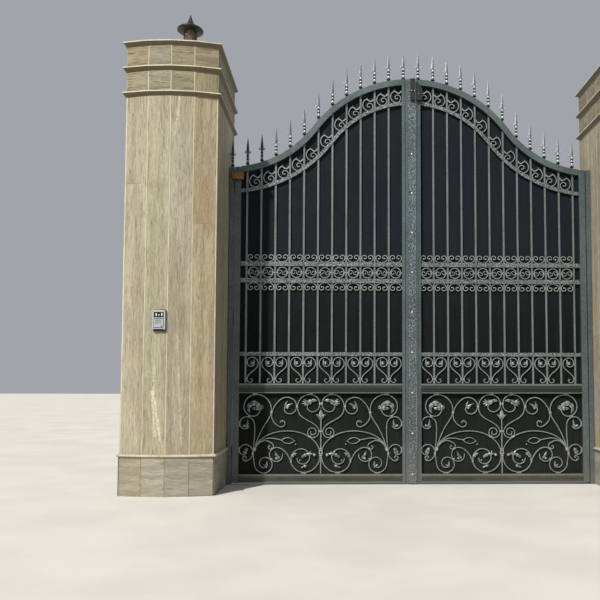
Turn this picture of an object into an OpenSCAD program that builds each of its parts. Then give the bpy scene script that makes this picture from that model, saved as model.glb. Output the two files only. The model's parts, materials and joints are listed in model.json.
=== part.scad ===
// Wrought iron double driveway gate between two stone clad pillars.
// X runs along the gate, Y goes inward from the street, Z is up. Millimetres.
// The origin is on the ground, in the middle between the pillars.

/* [Opening] */
// Clear width between the faces of the two pillars
opening_w = 3590; // [2900:10:4400]
// Gap between a pillar and its hinge post, bridged by lugs
post_gap = 10; // [6:1:25]
// How far the middle plane of the leaves lies behind the middle of the pillars
gate_setback = 190; // [0:10:240]
// Clearance between the leaves and the ground
ground_gap = 20; // [15:1:60]

/* [Pillars] */
// Width of a pillar along the gate
pillar_w = 810; // [600:10:1000]
// Depth of a pillar at its corners
pillar_d = 900; // [700:10:1100]
// Rise of the bowed front and back faces over their chord
pillar_bow = 60; // [20:5:100]
// Columns of cladding slabs across the front
pillar_columns = 4; // [3:1:6]
// Height of the plinth
plinth_h = 335; // [200:5:500]
// How far the plinth stands out from the shaft
plinth_out = 8; // [4:1:20]
// Height of the rounded moulding on the plinth
base_ledge_h = 24; // [16:1:40]
// Top of the pillar above the ground
pillar_h = 4005; // [3300:5:4900]
// Height of one crown course with the ledge above it
course_h = 228; // [160:2:300]
// How far the crown ledges stand out from the wall
ledge_out = 30; // [28:1:50]
// Thickness of the lip of a crown ledge
ledge_lip = 10; // [6:1:20]
// Height of the sloping underside of a crown ledge
ledge_slope = 26; // [10:1:40]

/* [Lamps] */
// Height of the lamp from the cap to the tip of its spike
lamp_h = 530; // [350:10:700]
// Radius of the lamp body
lamp_r = 68; // [50:1:100]
// Radius of the lamp hat
lamp_hat_r = 124; // [90:1:170]
// How far the lamp stands from the pillar's middle towards the opening
lamp_shift = 45; // [0:5:120]

/* [Leaves] */
// Depth of the leaf frame from front to back
frame_d = 60; // [50:1:80]
// Width of a hinge post
post_w = 44; // [36:1:60]
// Gap between a hinge post and its leaf
hinge_gap = 8; // [6:1:14]
// Width of a hinge stile
stile_w = 60; // [45:1:80]
// Width of the cover strip over the meeting of the leaves
strip_w = 75; // [60:1:90]
// How far the cover strip and the left leaf reach past the middle of the gate
strip_over = 45; // [35:1:50]
// Thickness of the cover strip
strip_t = 8; // [5:1:12]
// Gap between the cover strip and the stile of the other leaf
meeting_gap = 9; // [9:1:14]
// Distance from the middle of the gate to the inner edges of the meeting stiles
meeting_in = 92; // [80:1:110]
// Height of the arched top above the ground at the middle
apex_z = 4006; // [3700:2:4900]
// Height of the arched top above the ground at the hinges
shoulder_z = 3100; // [2850:2:3300]
// Radius of the round middle of the arched top
crown_r = 1210; // [1100:5:1400]
// Width of the arched top rail
arch_w = 58; // [45:1:70]
// Distance from the arched top down to the middle of the inner arched rail
crest_drop = 240; // [200:1:280]
// Thickness of the backing sheets
sheet_t = 2; // [1.5:0.5:4]

/* [Bars] */
// Upright bars in each leaf
bar_count = 11; // [7:1:13]
// Side of a square bar
bar_s = 18; // [14:1:22]
// Plain gap between the outermost bar and the hinge stile
end_gap = 48; // [30:1:70]
// Thickness of a scroll bar seen from the front
scroll_t = 9; // [7:0.5:11]
// Depth of a scroll bar from front to back
scroll_d = 12; // [8:1:14]
// Thickness of the bars of the scroll panel seen from the front
panel_t = 11; // [9:0.5:14]
// Thickness of the hammered flat rails
flat_t = 8; // [5:1:12]

/* [Rail heights] */
// Height of the bottom rail
bottom_rail_h = 82; // [60:1:110]
// Top of the scroll panel above the ground
panel_top_z = 877; // [700:1:1000]
// Height of the middle rail
middle_rail_h = 96; // [70:1:120]
// Clear height of the heart band over the middle rail
heart_h = 267; // [220:1:320]
// Height of the hammered flat rail over the hearts
heart_rail_h = 37; // [28:1:50]
// Middle of the ring band above the ground
ring_z = 2060; // [1900:5:2200]
// Height of the two hammered flat rails of the ring band
ring_rail_h = 42; // [30:1:50]
// Height of the inner arched flat rail
inner_rail_h = 34; // [26:1:44]

/* [Hinges] */
// Radius of a hinge barrel
barrel_r = 15; // [12:0.5:20]
// Radius of the pin in a hinge barrel
pin_r = 8; // [6:0.5:10]
// Clearance round the pin
pin_fit = 0.08; // [0.03:0.01:0.1]
// Length of one half of a hinge barrel
barrel_h = 60; // [40:1:90]

/* [Hidden] */
$fn = 32;

// Places along the gate, as distances from its middle
pillar_in = opening_w / 2;
post_out = pillar_in - post_gap;
post_in = post_out - post_w;
stile_out = post_in - hinge_gap;
stile_in = stile_out - stile_w;
last_bar_out = stile_in - end_gap;
cell_w = (last_bar_out - meeting_in - bar_count * bar_s) / bar_count;
pitch = cell_w + bar_s;

// Heights
bottom_top_z = ground_gap + bottom_rail_h;
middle_top_z = panel_top_z + middle_rail_h;
heart_rail_z = middle_top_z + heart_h;
ring_half = cell_w / 2;
ring_low_z = ring_z - ring_half;
ring_high_z = ring_z + ring_half;
shaft_z = plinth_h + base_ledge_h;
crown_z = pillar_h - 2 * course_h - ledge_lip - ledge_slope;

// Depths from the middle plane of the leaves
frame_front = -frame_d / 2;
frame_back = frame_d / 2;
bar_front = -bar_s / 2;
bar_back = bar_s / 2;
flat_front = bar_front - flat_t;

// The hinge axis lies behind the gap between post and stile, so the leaves open inward
hinge_stand_off = 2;
hinge_inset = 230;
hinge_x = post_in - hinge_gap / 2;
hinge_y = frame_back + barrel_r + hinge_stand_off;
low_hinge_z = ground_gap + hinge_inset;
high_hinge_z = shoulder_z - hinge_inset;
hinge_zs = [low_hinge_z, (low_hinge_z + high_hinge_z) / 2, high_hinge_z];
// Lugs that hold a hinge post to its pillar, clear of the plinth and its moulding
lug_h = 12;
lug_d = 40;
lug_up = 60;
lug_zs = [shaft_z + lug_up, hinge_zs[1], high_hinge_z];

iron = [0.24, 0.27, 0.26];
worn_iron = [0.46, 0.50, 0.49];
sheet_dark = [0.07, 0.09, 0.09];
stone = [0.74, 0.66, 0.52];
cream = [0.88, 0.83, 0.69];
grey_stone = [0.68, 0.65, 0.58];

// Curve of the arched top, moved inward by drop: a round middle that runs into a hollow shoulder.
// Both arcs keep their centres, so every parallel curve stays an even distance away.
rise = apex_z - shoulder_z;
shoulder_r = (pillar_in * pillar_in / rise - 2 * crown_r + rise) / 2;
crown_c = [0, apex_z - crown_r];
shoulder_c = [pillar_in, shoulder_z + shoulder_r];
function arch_z(u, drop) =
    let (turn = (crown_r - drop) * pillar_in / (crown_r + shoulder_r))
    u <= turn
        ? crown_c[1] + sqrt(pow(crown_r - drop, 2) - u * u)
        : shoulder_c[1] - sqrt(pow(shoulder_r + drop, 2) - pow(min(u, pillar_in) - pillar_in, 2));

// Points along the arch across a leaf, from its meeting stile to its hinge stile
arch_steps = 48;
function arch_across(drop) =
    [for (i = [0 : arch_steps]) let (u = meeting_in + (stile_in - meeting_in) * i / arch_steps)
        [u, arch_z(u, drop)]];
function backwards(p) = [for (i = [len(p) - 1 : -1 : 0]) p[i]];
function past_first(p) = [for (i = [1 : len(p) - 1]) p[i]];

// Left edge and middle of the cells between the bars, and the middle of the bars
function cell_x(i) = meeting_in + i * pitch;
function cell_mid(i) = cell_x(i) + cell_w / 2;
function bar_x(i) = cell_x(i) + cell_w + bar_s / 2;

// Centre lines of scroll bars are laid out as a smith does, from volutes and the bars between them.
// A volute is [middle, radius at its rim, angle of its rim, turn to its eye, radius at its eye, ease].
// With ease 1 it closes evenly, and with a higher ease it closes fast at first and then slowly.
// It is drawn in chords that stray from the round by flat_error at most, and the chords of its tight
// inner turns are closer together by the share crowding. No chord turns by more than coarsest degrees.
flat_error = 0.8;
crowding = 0.35;
coarsest = 30;
function toward(a) = [cos(a), sin(a)];
function volute(v) =
    let (n = ceil(abs(v[3]) / min(coarsest, 2 * acos(1 - 2 * flat_error / (v[1] + v[4])))))
    [for (i = [0 : n]) let (f = i / n * (1 - crowding + crowding * i / n))
        v[0] + (v[4] + (v[1] - v[4]) * pow(max(1 - f, 0), v[5])) * toward(v[2] + v[3] * f)];

// A station is a place on a centre line and the heading of the bar there, in degrees
function way_in(v) =
    [v[0] + v[1] * toward(v[2]),
        v[2] + sign(v[3]) * (90 + atan(v[5] * (v[1] - v[4]) * 180 / PI / abs(v[3]) / v[1]))];
function way_out(v) = [way_in(v)[0], way_in(v)[1] + 180];

// Smooth bar between two stations, without its last point. It is a true arc where both ends allow one.
// The longer the bar, the more chords it gets.
bridge_chords = 0.5;
function bridge(a, b) =
    let (
        gap = norm(b[0] - a[0]),
        turn = abs((b[1] - a[1]) - 360 * round((b[1] - a[1]) / 360)),
        pull = gap / (3 * pow(cos(turn / 4), 2)),
        q0 = a[0] + pull * toward(a[1]),
        q1 = b[0] - pull * toward(b[1]),
        n = ceil(bridge_chords * sqrt(gap))
    )
    [for (i = [0 : n - 1]) let (f = i / n, g = 1 - f)
        g * g * g * a[0] + 3 * f * g * g * q0 + 3 * f * f * g * q1 + f * f * f * b[0]];

// Centre line from the eye of one volute over stations to the eye of another; [] stands for no volute
function scroll_line(first, stations, last) =
    let (s = concat(first == [] ? [] : [way_out(first)], stations, last == [] ? [] : [way_in(last)]))
    concat(
        first == [] ? [] : backwards(past_first(volute(first))),
        [for (k = [0 : len(s) - 2]) each bridge(s[k], s[k + 1])],
        last == [] ? [s[len(s) - 1][0]] : volute(last));
function unit(v) = v / norm(v);
function side_of(p, i) =
    let (d = unit(p[min(i + 1, len(p) - 1)] - p[max(i - 1, 0)])) [-d[1], d[0]];

// An outline that stands off a centre line by half a width of its own at each point, on both sides
module outline(p, half) {
    last = len(p) - 1;
    polygon(concat(
        [for (i = [0 : last]) p[i] + side_of(p, i) * half[i]],
        [for (i = [last : -1 : 0]) p[i] - side_of(p, i) * half[i]]));
}

// A bar of even thickness along a centre line; its two ends can be hammered broader
module stroke(p, t, spread = 1) {
    last = len(p) - 1;
    outline(p, [for (i = [0 : last]) (i == 0 || i == last ? spread : 1) * t / 2]);
}

// A hammered leaf along a centre line: rooted a little up its outline, widest at a third, with lobed
// edges and a blunt tip
lobe_depth = 0.22;
leaf_root = 0.04;
leaf_belly = 0.7;
leaf_tip_half = 1;
module leaf_blade(p, w, lobes) {
    last = len(p) - 1;
    outline(p, [for (i = [0 : last])
        let (f = i / last, swell = sin(180 * pow(leaf_root + (1 - leaf_root) * f, leaf_belly)))
        w / 2 * swell * (1 - lobe_depth * pow(sin(180 * lobes * f), 2)) + leaf_tip_half]);
}

// Centre line of a leaf: an arc from a place and heading, of a length and a turn to its tip
leaf_steps = 6;
function leaf_line(p, heading, length, turn) =
    [for (i = [0 : leaf_steps]) let (f = i / leaf_steps)
        abs(turn) < 1
            ? p + length * f * toward(heading)
            : p + length * 180 / PI / turn
                * (toward(heading - 90 + turn * f) - toward(heading - 90))];

// Stands a flat outline up in the gate plane, from depth y0 to y0 + d
module upright(y0, d) {
    translate([0, gate_setback + y0 + d, 0])
        rotate([90, 0, 0])
            linear_extrude(d)
                children();
}

// A leaf is drawn with X as the distance from the middle; side is -1 left and 1 right
module leaf(side) {
    mirror([side < 0 ? 1 : 0, 0, 0])
        children();
}

// Outline of a pillar from above: flat sides, and bowed front and back in flat slabs
function bow_y(f, half_d) = half_d + pillar_bow * (1 - pow(2 * f - 1, 2));
module pillar_plan(out) {
    half_w = pillar_w / 2 + out;
    half_d = pillar_d / 2 + out;
    front = [for (i = [0 : pillar_columns]) let (f = i / pillar_columns)
        [-half_w + 2 * half_w * f, -bow_y(f, half_d)]];
    polygon(concat(front, [for (p = backwards(front)) [p[0], -p[1]]]));
}

module at_pillar(side) {
    translate([side * (pillar_in + pillar_w / 2), 0, 0])
        children();
}

module plinth(side) {
    color(grey_stone)
        at_pillar(side)
            linear_extrude(plinth_h)
                pillar_plan(plinth_out);
}

// Room for the hinge post and its finial, cut into whatever stands out from the pillar beside them
post_notch = 6;
module post_room(side) {
    leaf(side)
        translate([post_in - wing_reach, gate_setback + frame_front - post_notch, plinth_h - 1])
            cube([pillar_in - post_in + wing_reach, frame_d + 2 * post_notch,
                shoulder_z + finial_h + post_notch - plinth_h]);
}

// Moulding on the plinth: a round nose between two fillets
base_fillet_out = 18;
base_nose_out = 26;
module base_ledge(side) {
    nose_h = base_ledge_h / 3;
    color(cream)
        difference() {
            at_pillar(side)
                translate([0, 0, plinth_h]) {
                    linear_extrude(base_ledge_h)
                        pillar_plan(base_fillet_out);
                    translate([0, 0, nose_h])
                        linear_extrude(nose_h)
                            pillar_plan(base_nose_out);
                }
            post_room(side);
        }
}

module shaft(side) {
    color(stone)
        at_pillar(side)
            translate([0, 0, shaft_z])
                linear_extrude(crown_z - shaft_z)
                    pillar_plan(0);
}

// A projecting ledge: sloping underside, then an upright lip, its top at height z
module crown_ledge(z) {
    translate([0, 0, z - ledge_lip])
        linear_extrude(ledge_lip)
            pillar_plan(ledge_out);
    hull() {
        translate([0, 0, z - ledge_lip])
            linear_extrude(0.01)
                pillar_plan(ledge_out);
        translate([0, 0, z - ledge_lip - ledge_slope])
            linear_extrude(0.01)
                pillar_plan(0);
    }
}

module crown(side) {
    color(stone)
        difference() {
            at_pillar(side) {
                translate([0, 0, crown_z])
                    linear_extrude(pillar_h - ledge_lip - ledge_slope - crown_z)
                        pillar_plan(0);
                for (course = [1, 2])
                    crown_ledge(pillar_h - course * course_h);
            }
            post_room(side);
        }
}

module cap(side) {
    color(cream)
        difference() {
            at_pillar(side)
                crown_ledge(pillar_h);
            post_room(side);
        }
}

// Lamp on the cap: foot, round body, wide hat and spike. Heights are shares of the whole lamp.
lamp_foot_r = 78;
lamp_foot_h = 14;
lamp_foot_slope = 20;
lamp_neck_r = 48;
module lamp(side) {
    color([0.25, 0.19, 0.16])
        translate([side * (pillar_in + pillar_w / 2 - lamp_shift), 0, pillar_h])
            rotate_extrude($fn = 48)
                polygon([
                    [0, 0], [lamp_foot_r, 0], [lamp_foot_r, lamp_foot_h],
                    [lamp_neck_r, lamp_foot_h + lamp_foot_slope],
                    [lamp_neck_r, lamp_h * 0.30], [lamp_r, lamp_h * 0.34], [lamp_r, lamp_h * 0.66],
                    [lamp_r * 1.1, lamp_h * 0.68], [lamp_hat_r, lamp_h * 0.70],
                    [lamp_hat_r * 0.95, lamp_h * 0.73], [lamp_r * 0.75, lamp_h * 0.80],
                    [lamp_r * 0.5, lamp_h * 0.86], [lamp_r * 0.18, lamp_h * 0.89],
                    [lamp_r * 0.26, lamp_h * 0.92], [lamp_r * 0.1, lamp_h * 0.95], [0, lamp_h]
                ]);
}

// Entry phone on the second slab column of the left pillar, flat on the slab
intercom_w = 118;
intercom_h = 188;
intercom_t = 26;
intercom_z = 1514;
intercom_shift = -63;
module intercom() {
    slab_w = pillar_w / pillar_columns;
    column = floor((pillar_w / 2 + intercom_shift) / slab_w);
    y0 = bow_y(column / pillar_columns, pillar_d / 2);
    y1 = bow_y((column + 1) / pillar_columns, pillar_d / 2);
    x0 = column * slab_w - pillar_w / 2;
    y = y0 + (y1 - y0) * (intercom_shift - x0) / slab_w;
    color([0.75, 0.77, 0.78])
        at_pillar(-1)
            translate([intercom_shift, -y, intercom_z - intercom_h / 2])
                rotate([0, 0, -atan2(y1 - y0, slab_w)])
                    translate([-intercom_w / 2, -intercom_t, 0])
                        cube([intercom_w, intercom_t, intercom_h]);
}

// Lower half of each hinge: a barrel with its pin, on a plate welded to the post
plate_t = 6;
plate_inset = 8;
washer_gap = 1;
module hinge_lower(z) {
    translate([hinge_x, gate_setback + hinge_y, z]) {
        cylinder(h = barrel_h, r = barrel_r);
        cylinder(h = 2 * barrel_h - plate_t, r = pin_r);
    }
    translate([hinge_x, gate_setback + frame_back, z])
        cube([post_out - plate_inset - hinge_x, plate_t, barrel_h]);
}

// Upper half of each hinge: a barrel with a bore, on a plate welded to the stile
module hinge_upper(z) {
    difference() {
        union() {
            translate([hinge_x, gate_setback + hinge_y, z + barrel_h + washer_gap])
                cylinder(h = barrel_h, r = barrel_r);
            translate([stile_in + plate_inset, gate_setback + frame_back, z + barrel_h + washer_gap])
                cube([hinge_x - stile_in - plate_inset, plate_t, barrel_h]);
        }
        translate([hinge_x, gate_setback + hinge_y, z + barrel_h])
            cylinder(h = barrel_h + 2 * washer_gap, r = pin_r + pin_fit);
    }
}

module hinge_post(side) {
    color(iron)
        leaf(side) {
            translate([post_in, gate_setback + frame_front, 0])
                cube([post_w, frame_d, shoulder_z]);
            for (z = hinge_zs)
                hinge_lower(z);
            for (z = lug_zs)
                translate([post_out, gate_setback - lug_d / 2, z])
                    cube([post_gap, lug_d, lug_h]);
        }
}

module hinge_stile(side) {
    color(iron)
        leaf(side) {
            translate([stile_in, gate_setback + frame_front, ground_gap])
                cube([stile_w, frame_d, shoulder_z - ground_gap]);
            for (z = hinge_zs)
                hinge_upper(z);
        }
}

// Meeting stiles have a raised bead along the inner edge and a groove beside it. The left one backs
// the cover strip. The right one stands beside the strip and has a second bead there.
right_edge = strip_over + meeting_gap;
bead_out = 6;
groove_in = 6;
left_bead_w = 28;
right_bead_w = 8;
left_groove_w = 12;
module meeting_stile(side) {
    edge = side < 0 ? -strip_over : right_edge;
    bead_w = side < 0 ? left_bead_w : right_bead_w;
    groove_w = side < 0 ? left_groove_w : meeting_in - edge - 2 * bead_w;
    groove_x = meeting_in - bead_w - groove_w;
    color(iron)
        leaf(side)
            translate([0, gate_setback, ground_gap])
                linear_extrude(arch_z(meeting_in, 0) - ground_gap)
                    polygon(concat(
                        [[meeting_in, frame_back], [meeting_in, frame_front - bead_out],
                            [meeting_in - bead_w, frame_front - bead_out],
                            [meeting_in - bead_w, frame_front + groove_in],
                            [groove_x, frame_front + groove_in]],
                        side < 0
                            ? [[groove_x, frame_front], [edge, frame_front]]
                            : [[groove_x, frame_front - bead_out], [edge, frame_front - bead_out]],
                        [[edge, frame_back]]));
}

// Hammered strip over the meeting of the leaves, on the left leaf; its foot hangs below the rails
strip_foot = 8;
module cover_strip() {
    color(worn_iron)
        translate([strip_over - strip_w, gate_setback + frame_front - strip_t, ground_gap - strip_foot])
            cube([strip_w, strip_t, arch_z(meeting_in, 0) - ground_gap + strip_foot]);
}

// Section of a rail with raised edges round a sunk middle, seen from its end. The upper edge is broader.
edge_out = 6;
low_edge_h = 12;
high_edge_h = 21;
edge_round = 2;
sunk = 5;
module rail_section(h) {
    polygon([
        [frame_front, 0], [frame_front - edge_out, edge_round],
        [frame_front - edge_out, low_edge_h - edge_round], [frame_front, low_edge_h],
        [frame_front + sunk, low_edge_h], [frame_front + sunk, h / 2 - edge_round],
        [frame_front, h / 2], [frame_front, h - high_edge_h],
        [frame_front - edge_out, h - high_edge_h + edge_round], [frame_front - edge_out, h - edge_round],
        [frame_front, h], [frame_back, h], [frame_back, 0]
    ]);
}

module moulded_rail(side, z, h) {
    color(iron)
        leaf(side)
            translate([meeting_in, gate_setback, z])
                rotate([90, 0, 90])
                    linear_extrude(stile_in - meeting_in)
                        rail_section(h);
}

// The space between the middle rail and a curve parallel to the arch
module under_arch(drop) {
    polygon(concat([[stile_in, middle_top_z], [meeting_in, middle_top_z]], arch_across(drop)));
}

module arch_band(drop0, drop1) {
    polygon(concat(arch_across(drop0), backwards(arch_across(drop1))));
}

// Finials stand over the bars, and the first one over the meeting stile. Each is seated just high
// enough that its neck and its lowest ring clear the slope of the arch.
finial_h = 284;
neck_r = 9;
ring_r = 19;
ring_up = 16;
seat_gap = 4;
spigot_r = 8;
wing_reach = 31;
function finial_u(i) = i == 0 ? meeting_in - bar_s : bar_x(i - 1);
function seat_z(i) =
    i == 0
        ? arch_z(meeting_in, 0)
        : max(arch_z(finial_u(i) - neck_r, 0), arch_z(finial_u(i) - ring_r, 0) - ring_up) + seat_gap;

// Arched top rail with a short round spigot up to the seat of each finial
module arch_rail(side) {
    color(iron)
        leaf(side) {
            upright(frame_front, frame_d)
                arch_band(0, arch_w);
            for (i = [1 : bar_count]) {
                root = arch_z(finial_u(i), arch_w / 2);
                translate([finial_u(i), gate_setback, root])
                    cylinder(h = seat_z(i) - root, r = spigot_r);
            }
        }
}

module flat_rail(side, z, h) {
    color(worn_iron)
        leaf(side)
            translate([meeting_in, gate_setback + flat_front, z])
                cube([stile_in - meeting_in, flat_t, h]);
}

module flat_rails(side) {
    flat_rail(side, heart_rail_z, heart_rail_h);
    flat_rail(side, ring_low_z - ring_rail_h, ring_rail_h);
    flat_rail(side, ring_high_z, ring_rail_h);
}

module inner_arch_rail(side) {
    color(worn_iron)
        leaf(side)
            upright(flat_front, flat_t)
                arch_band(crest_drop - inner_rail_h / 2, crest_drop + inner_rail_h / 2);
}

module bars(side) {
    color(worn_iron)
        leaf(side)
            upright(bar_front, bar_s)
                intersection() {
                    under_arch(arch_w);
                    for (i = [0 : bar_count - 1])
                        translate([bar_x(i) - bar_s / 2, middle_top_z])
                            square([bar_s, apex_z - middle_top_z]);
                }
}

// Cast spear finial: a turned stem with three rings and bulbs, two curled wings and a ridged blade
bulb_r = 12;
small_ring_r = 15;
wing_z = 120;
wing_t = 6;
ball_r = 6;
wing_tip = [wing_reach - ball_r, 134];
blade_z = 118;
blade_w = 27;
blade_t = 16;
module finial_stem() {
    rotate_extrude($fn = 24)
        polygon([
            [0, 0], [neck_r, 0], [neck_r, 8], [ring_r, ring_up], [ring_r, ring_up + 8], [neck_r, 30],
            [bulb_r, 36], [bulb_r, 50], [neck_r, 56], [small_ring_r, 60], [small_ring_r, 66], [neck_r, 70],
            [bulb_r, 76], [neck_r, 86], [small_ring_r, 90], [small_ring_r, 96], [neck_r, 100],
            [bulb_r, 110], [neck_r, 122], [0, 132]
        ]);
}

// Half outline of the blade as shares of its width and of its height, from its foot to the tip
module blade_side(w) {
    h = finial_h - blade_z;
    edge = [[0.25, 0], [0.42, 0.12], [0.5, 0.3], [0.3, 0.66], [0.04, 1]];
    polygon(concat(
        [for (p = edge) [p[0] * w, blade_z + p[1] * h]],
        [for (p = backwards(edge)) [-p[0] * w, blade_z + p[1] * h]]));
}

// The blade is ridged: its outline from the front, cut to its outline from the side
module finial() {
    finial_stem();
    intersection() {
        translate([0, blade_t / 2, 0])
            rotate([90, 0, 0])
                linear_extrude(blade_t)
                    blade_side(blade_w);
        rotate([90, 0, 90])
            translate([0, 0, -blade_w / 2])
                linear_extrude(blade_w)
                    blade_side(blade_t);
    }
    translate([0, wing_t / 2, 0])
        rotate([90, 0, 0])
            linear_extrude(wing_t)
                for (m = [0, 1])
                    mirror([m, 0])
                        stroke(scroll_line([], [[[0, wing_z], 10], [wing_tip, 70]], []), wing_t);
    for (m = [-1, 1])
        translate([m * wing_tip[0], 0, wing_tip[1] + 2])
            sphere(ball_r, $fn = 16);
}

module finials(side) {
    color(iron)
        leaf(side)
            for (i = [0 : bar_count])
                translate([finial_u(i), gate_setback, seat_z(i)])
                    finial();
}

module post_finial() {
    color(iron)
        translate([-post_in - post_w / 2, gate_setback, shoulder_z])
            finial();
}

// Scroll of the crest band, in a cell from x = 0 at the inner bar, its foot behind the inner arched rail.
// A flat bar runs across to a slanting bar, which winds down against the outer bar into a volute. All
// of it is cut to the cell.
crest_h = 145;
function crest_foot_z(i) = arch_z(cell_mid(i), crest_drop - inner_rail_h / 2) - scroll_t / 2;
module crest_scroll() {
    r = cell_w / 2 - scroll_t / 2;
    curl = [[cell_w * 0.42, r * 0.92 + scroll_t / 2], r * 1.12, 8, -540, r * 0.28, 1.7];
    bar_up = crest_h * 0.79;
    crest_bar_t = scroll_t * 1.2;
    intersection() {
        translate([0, -crest_h])
            square([cell_w, 3 * crest_h]);
        union() {
            stroke(scroll_line([], [[[cell_w * 0.74, crest_h], -55]], curl), scroll_t);
            stroke(scroll_line([], [[[0, bar_up + scroll_t * 1.6], -48], [[cell_w * 0.18, bar_up], -4],
                [[cell_w * 0.87, bar_up + 1], 4]], []), crest_bar_t);
            leaf_blade(leaf_line([cell_w * 0.9, crest_h * 0.5], 150, cell_w * 0.27, 30), scroll_t * 2, 1);
        }
    }
}

module crest_scrolls(side) {
    color(worn_iron)
        leaf(side)
            upright(bar_front, scroll_d)
                intersection() {
                    under_arch(arch_w);
                    for (i = [0 : bar_count - 1])
                        translate([cell_x(i), crest_foot_z(i)])
                            crest_scroll();
                }
}

// C scroll on a ring band rail: its back behind the rail's edge, its shoulders against the bars, its
// ends curled in to broad tips
c_scroll_h = 79;
c_tip_spread = 1.6;
module c_scroll() {
    w = (cell_w - scroll_t) / 2;
    h = c_scroll_h - scroll_t / 2;
    curl = [[w * 0.5, h * 0.64], w * 0.5, 0, 290, w * 0.17, 1];
    half = scroll_line([], [[[0, 0], 0]], curl);
    stroke(concat([for (q = backwards(half)) [-q[0], q[1]]], past_first(half)), scroll_t, c_tip_spread);
}

// Ring with a pin to the bar on each side and an S of two small volutes inside
ring_r_out = 55;
ring_pin_h = 10;
s_bar_t = 7;
s_eye = 0.3;
s_turn = 380;
s_bite = 1;
// Radius at which the far side of each volute of the S just bites into the ring
s_rim = (ring_r_out - scroll_t + s_bite - s_bar_t / 2) / (2 - (1 - s_eye) * 180 / s_turn);
module ring_scroll() {
    inside = ring_r_out - scroll_t;
    difference() {
        circle(ring_r_out, $fn = 48);
        circle(inside, $fn = 48);
    }
    for (m = [0, 1])
        mirror([m, 0])
            translate([ring_r_out - scroll_t / 2, -ring_pin_h / 2])
                square([cell_w / 2 - ring_r_out + scroll_t / 2, ring_pin_h]);
    half = volute([[s_rim, 0], s_rim, 180, -s_turn, s_rim * s_eye, 1]);
    stroke(concat(backwards(half), [for (q = past_first(half)) -q]), s_bar_t);
}

module ring_scrolls(side) {
    color(worn_iron)
        leaf(side)
            upright(bar_front, scroll_d)
                for (i = [0 : bar_count - 1])
                    translate([cell_mid(i), 0]) {
                        translate([0, ring_z])
                            ring_scroll();
                        translate([0, ring_high_z + ring_rail_h])
                            c_scroll();
                        translate([0, ring_low_z - ring_rail_h])
                            mirror([0, 1])
                                c_scroll();
                    }
}

// Half of a heart, in a cell from x = 0 at the bar on its round side to the bar that halves the heart.
// An S from the volute in its lobe down to the curl beside its point, with a leaf in the lobe.
module half_heart() {
    reach = cell_w - scroll_t;
    lobe = [[cell_w * 0.59, heart_h * 0.75], reach * 0.57, 195, -430, reach * 0.17, 1];
    curl = [[cell_w * 0.64, heart_h * 0.13], reach * 0.35, 20, -310, reach * 0.08, 1.6];
    stroke(scroll_line(lobe, [], curl), scroll_t);
    leaf_blade(leaf_line([cell_w * 0.5, heart_h * 0.69], 115, heart_h * 0.2, -30), scroll_t * 2.2, 2);
    for (up = [0.17, 0.75])
        translate([cell_w - scroll_t, heart_h * up - scroll_t])
            square([scroll_t, scroll_t * 2]);
}

module heart_scrolls(side) {
    color(worn_iron)
        leaf(side)
            upright(bar_front, scroll_d)
                for (i = [0 : bar_count - 1])
                    translate([cell_mid(i), middle_top_z])
                        mirror([i % 2, 0])
                            translate([-cell_w / 2, 0])
                                half_heart();
}

// Scroll panel. It is laid out on a half panel 790 wide and 775 high, from the stem in its middle to
// the stile, and stretched to the real panel. Places and radii are in that layout's millimetres.
layout = [790, 775];
panel_w = stile_in - meeting_in;
panel_h = panel_top_z - bottom_top_z;
stretch = [panel_w / 2 / layout[0], panel_h / layout[1]];
function stretched(p) = [for (q = p) [q[0] * stretch[0], q[1] * stretch[1]]];

// The scrolls that make up one half of the panel
heart_top = [[95, 657], 138, -30, 470, 15, 1];
heart_foot = [[80, 400], 63, 150, 420, 28, 1];
side_heart_top = [[315, 635], 112, 40, 370, 25, 1];
side_heart_foot = [[377, 488], 40, -60, -300, 14, 1];
corner_top = [[640, 630], 164, 190, -370, 46, 1];
side_top = [[725, 477], 84, 180, -330, 35, 1];
side_foot_up = [[735, 215], 80, 180, -310, 24, 1];
side_foot_down = [[727, 152], 32, 240, 320, 8, 1];
arch_foot = [[541, 95], 99, 0, -540, 24, 1];
hook_top = [[489, 259], 38, 110, 330, 10, 1];
wave_top = [[426, 180], 73, 110, -300, 58, 1];
great_foot = [[177, 150], 162, 195, 525, 52, 1.7];
tails_meet = [641, 240];
half_panel_lines = [
    scroll_line(heart_top, [], heart_foot),
    scroll_line(side_heart_top, [[[476, 560], -90]], side_heart_foot),
    scroll_line(corner_top, [[[560, 440], -62], [tails_meet, -75]], []),
    scroll_line(side_top, [[[650, 235], -86]], []),
    scroll_line(side_foot_up, [], side_foot_down),
    scroll_line(arch_foot, [[[650, 180], 90], [[320, 411], 180], [[8, 216], -105]], []),
    scroll_line([], [[tails_meet, 112], [[513, 340], 172], [[385, 325], 192]], []),
    scroll_line(hook_top, [[[533, 318], 0], [[643, 225], -67]], []),
    scroll_line(wave_top, [[[285, 105], -108]], []),
    scroll_line([], [[[7, 190], -90]], great_foot)
];

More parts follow.
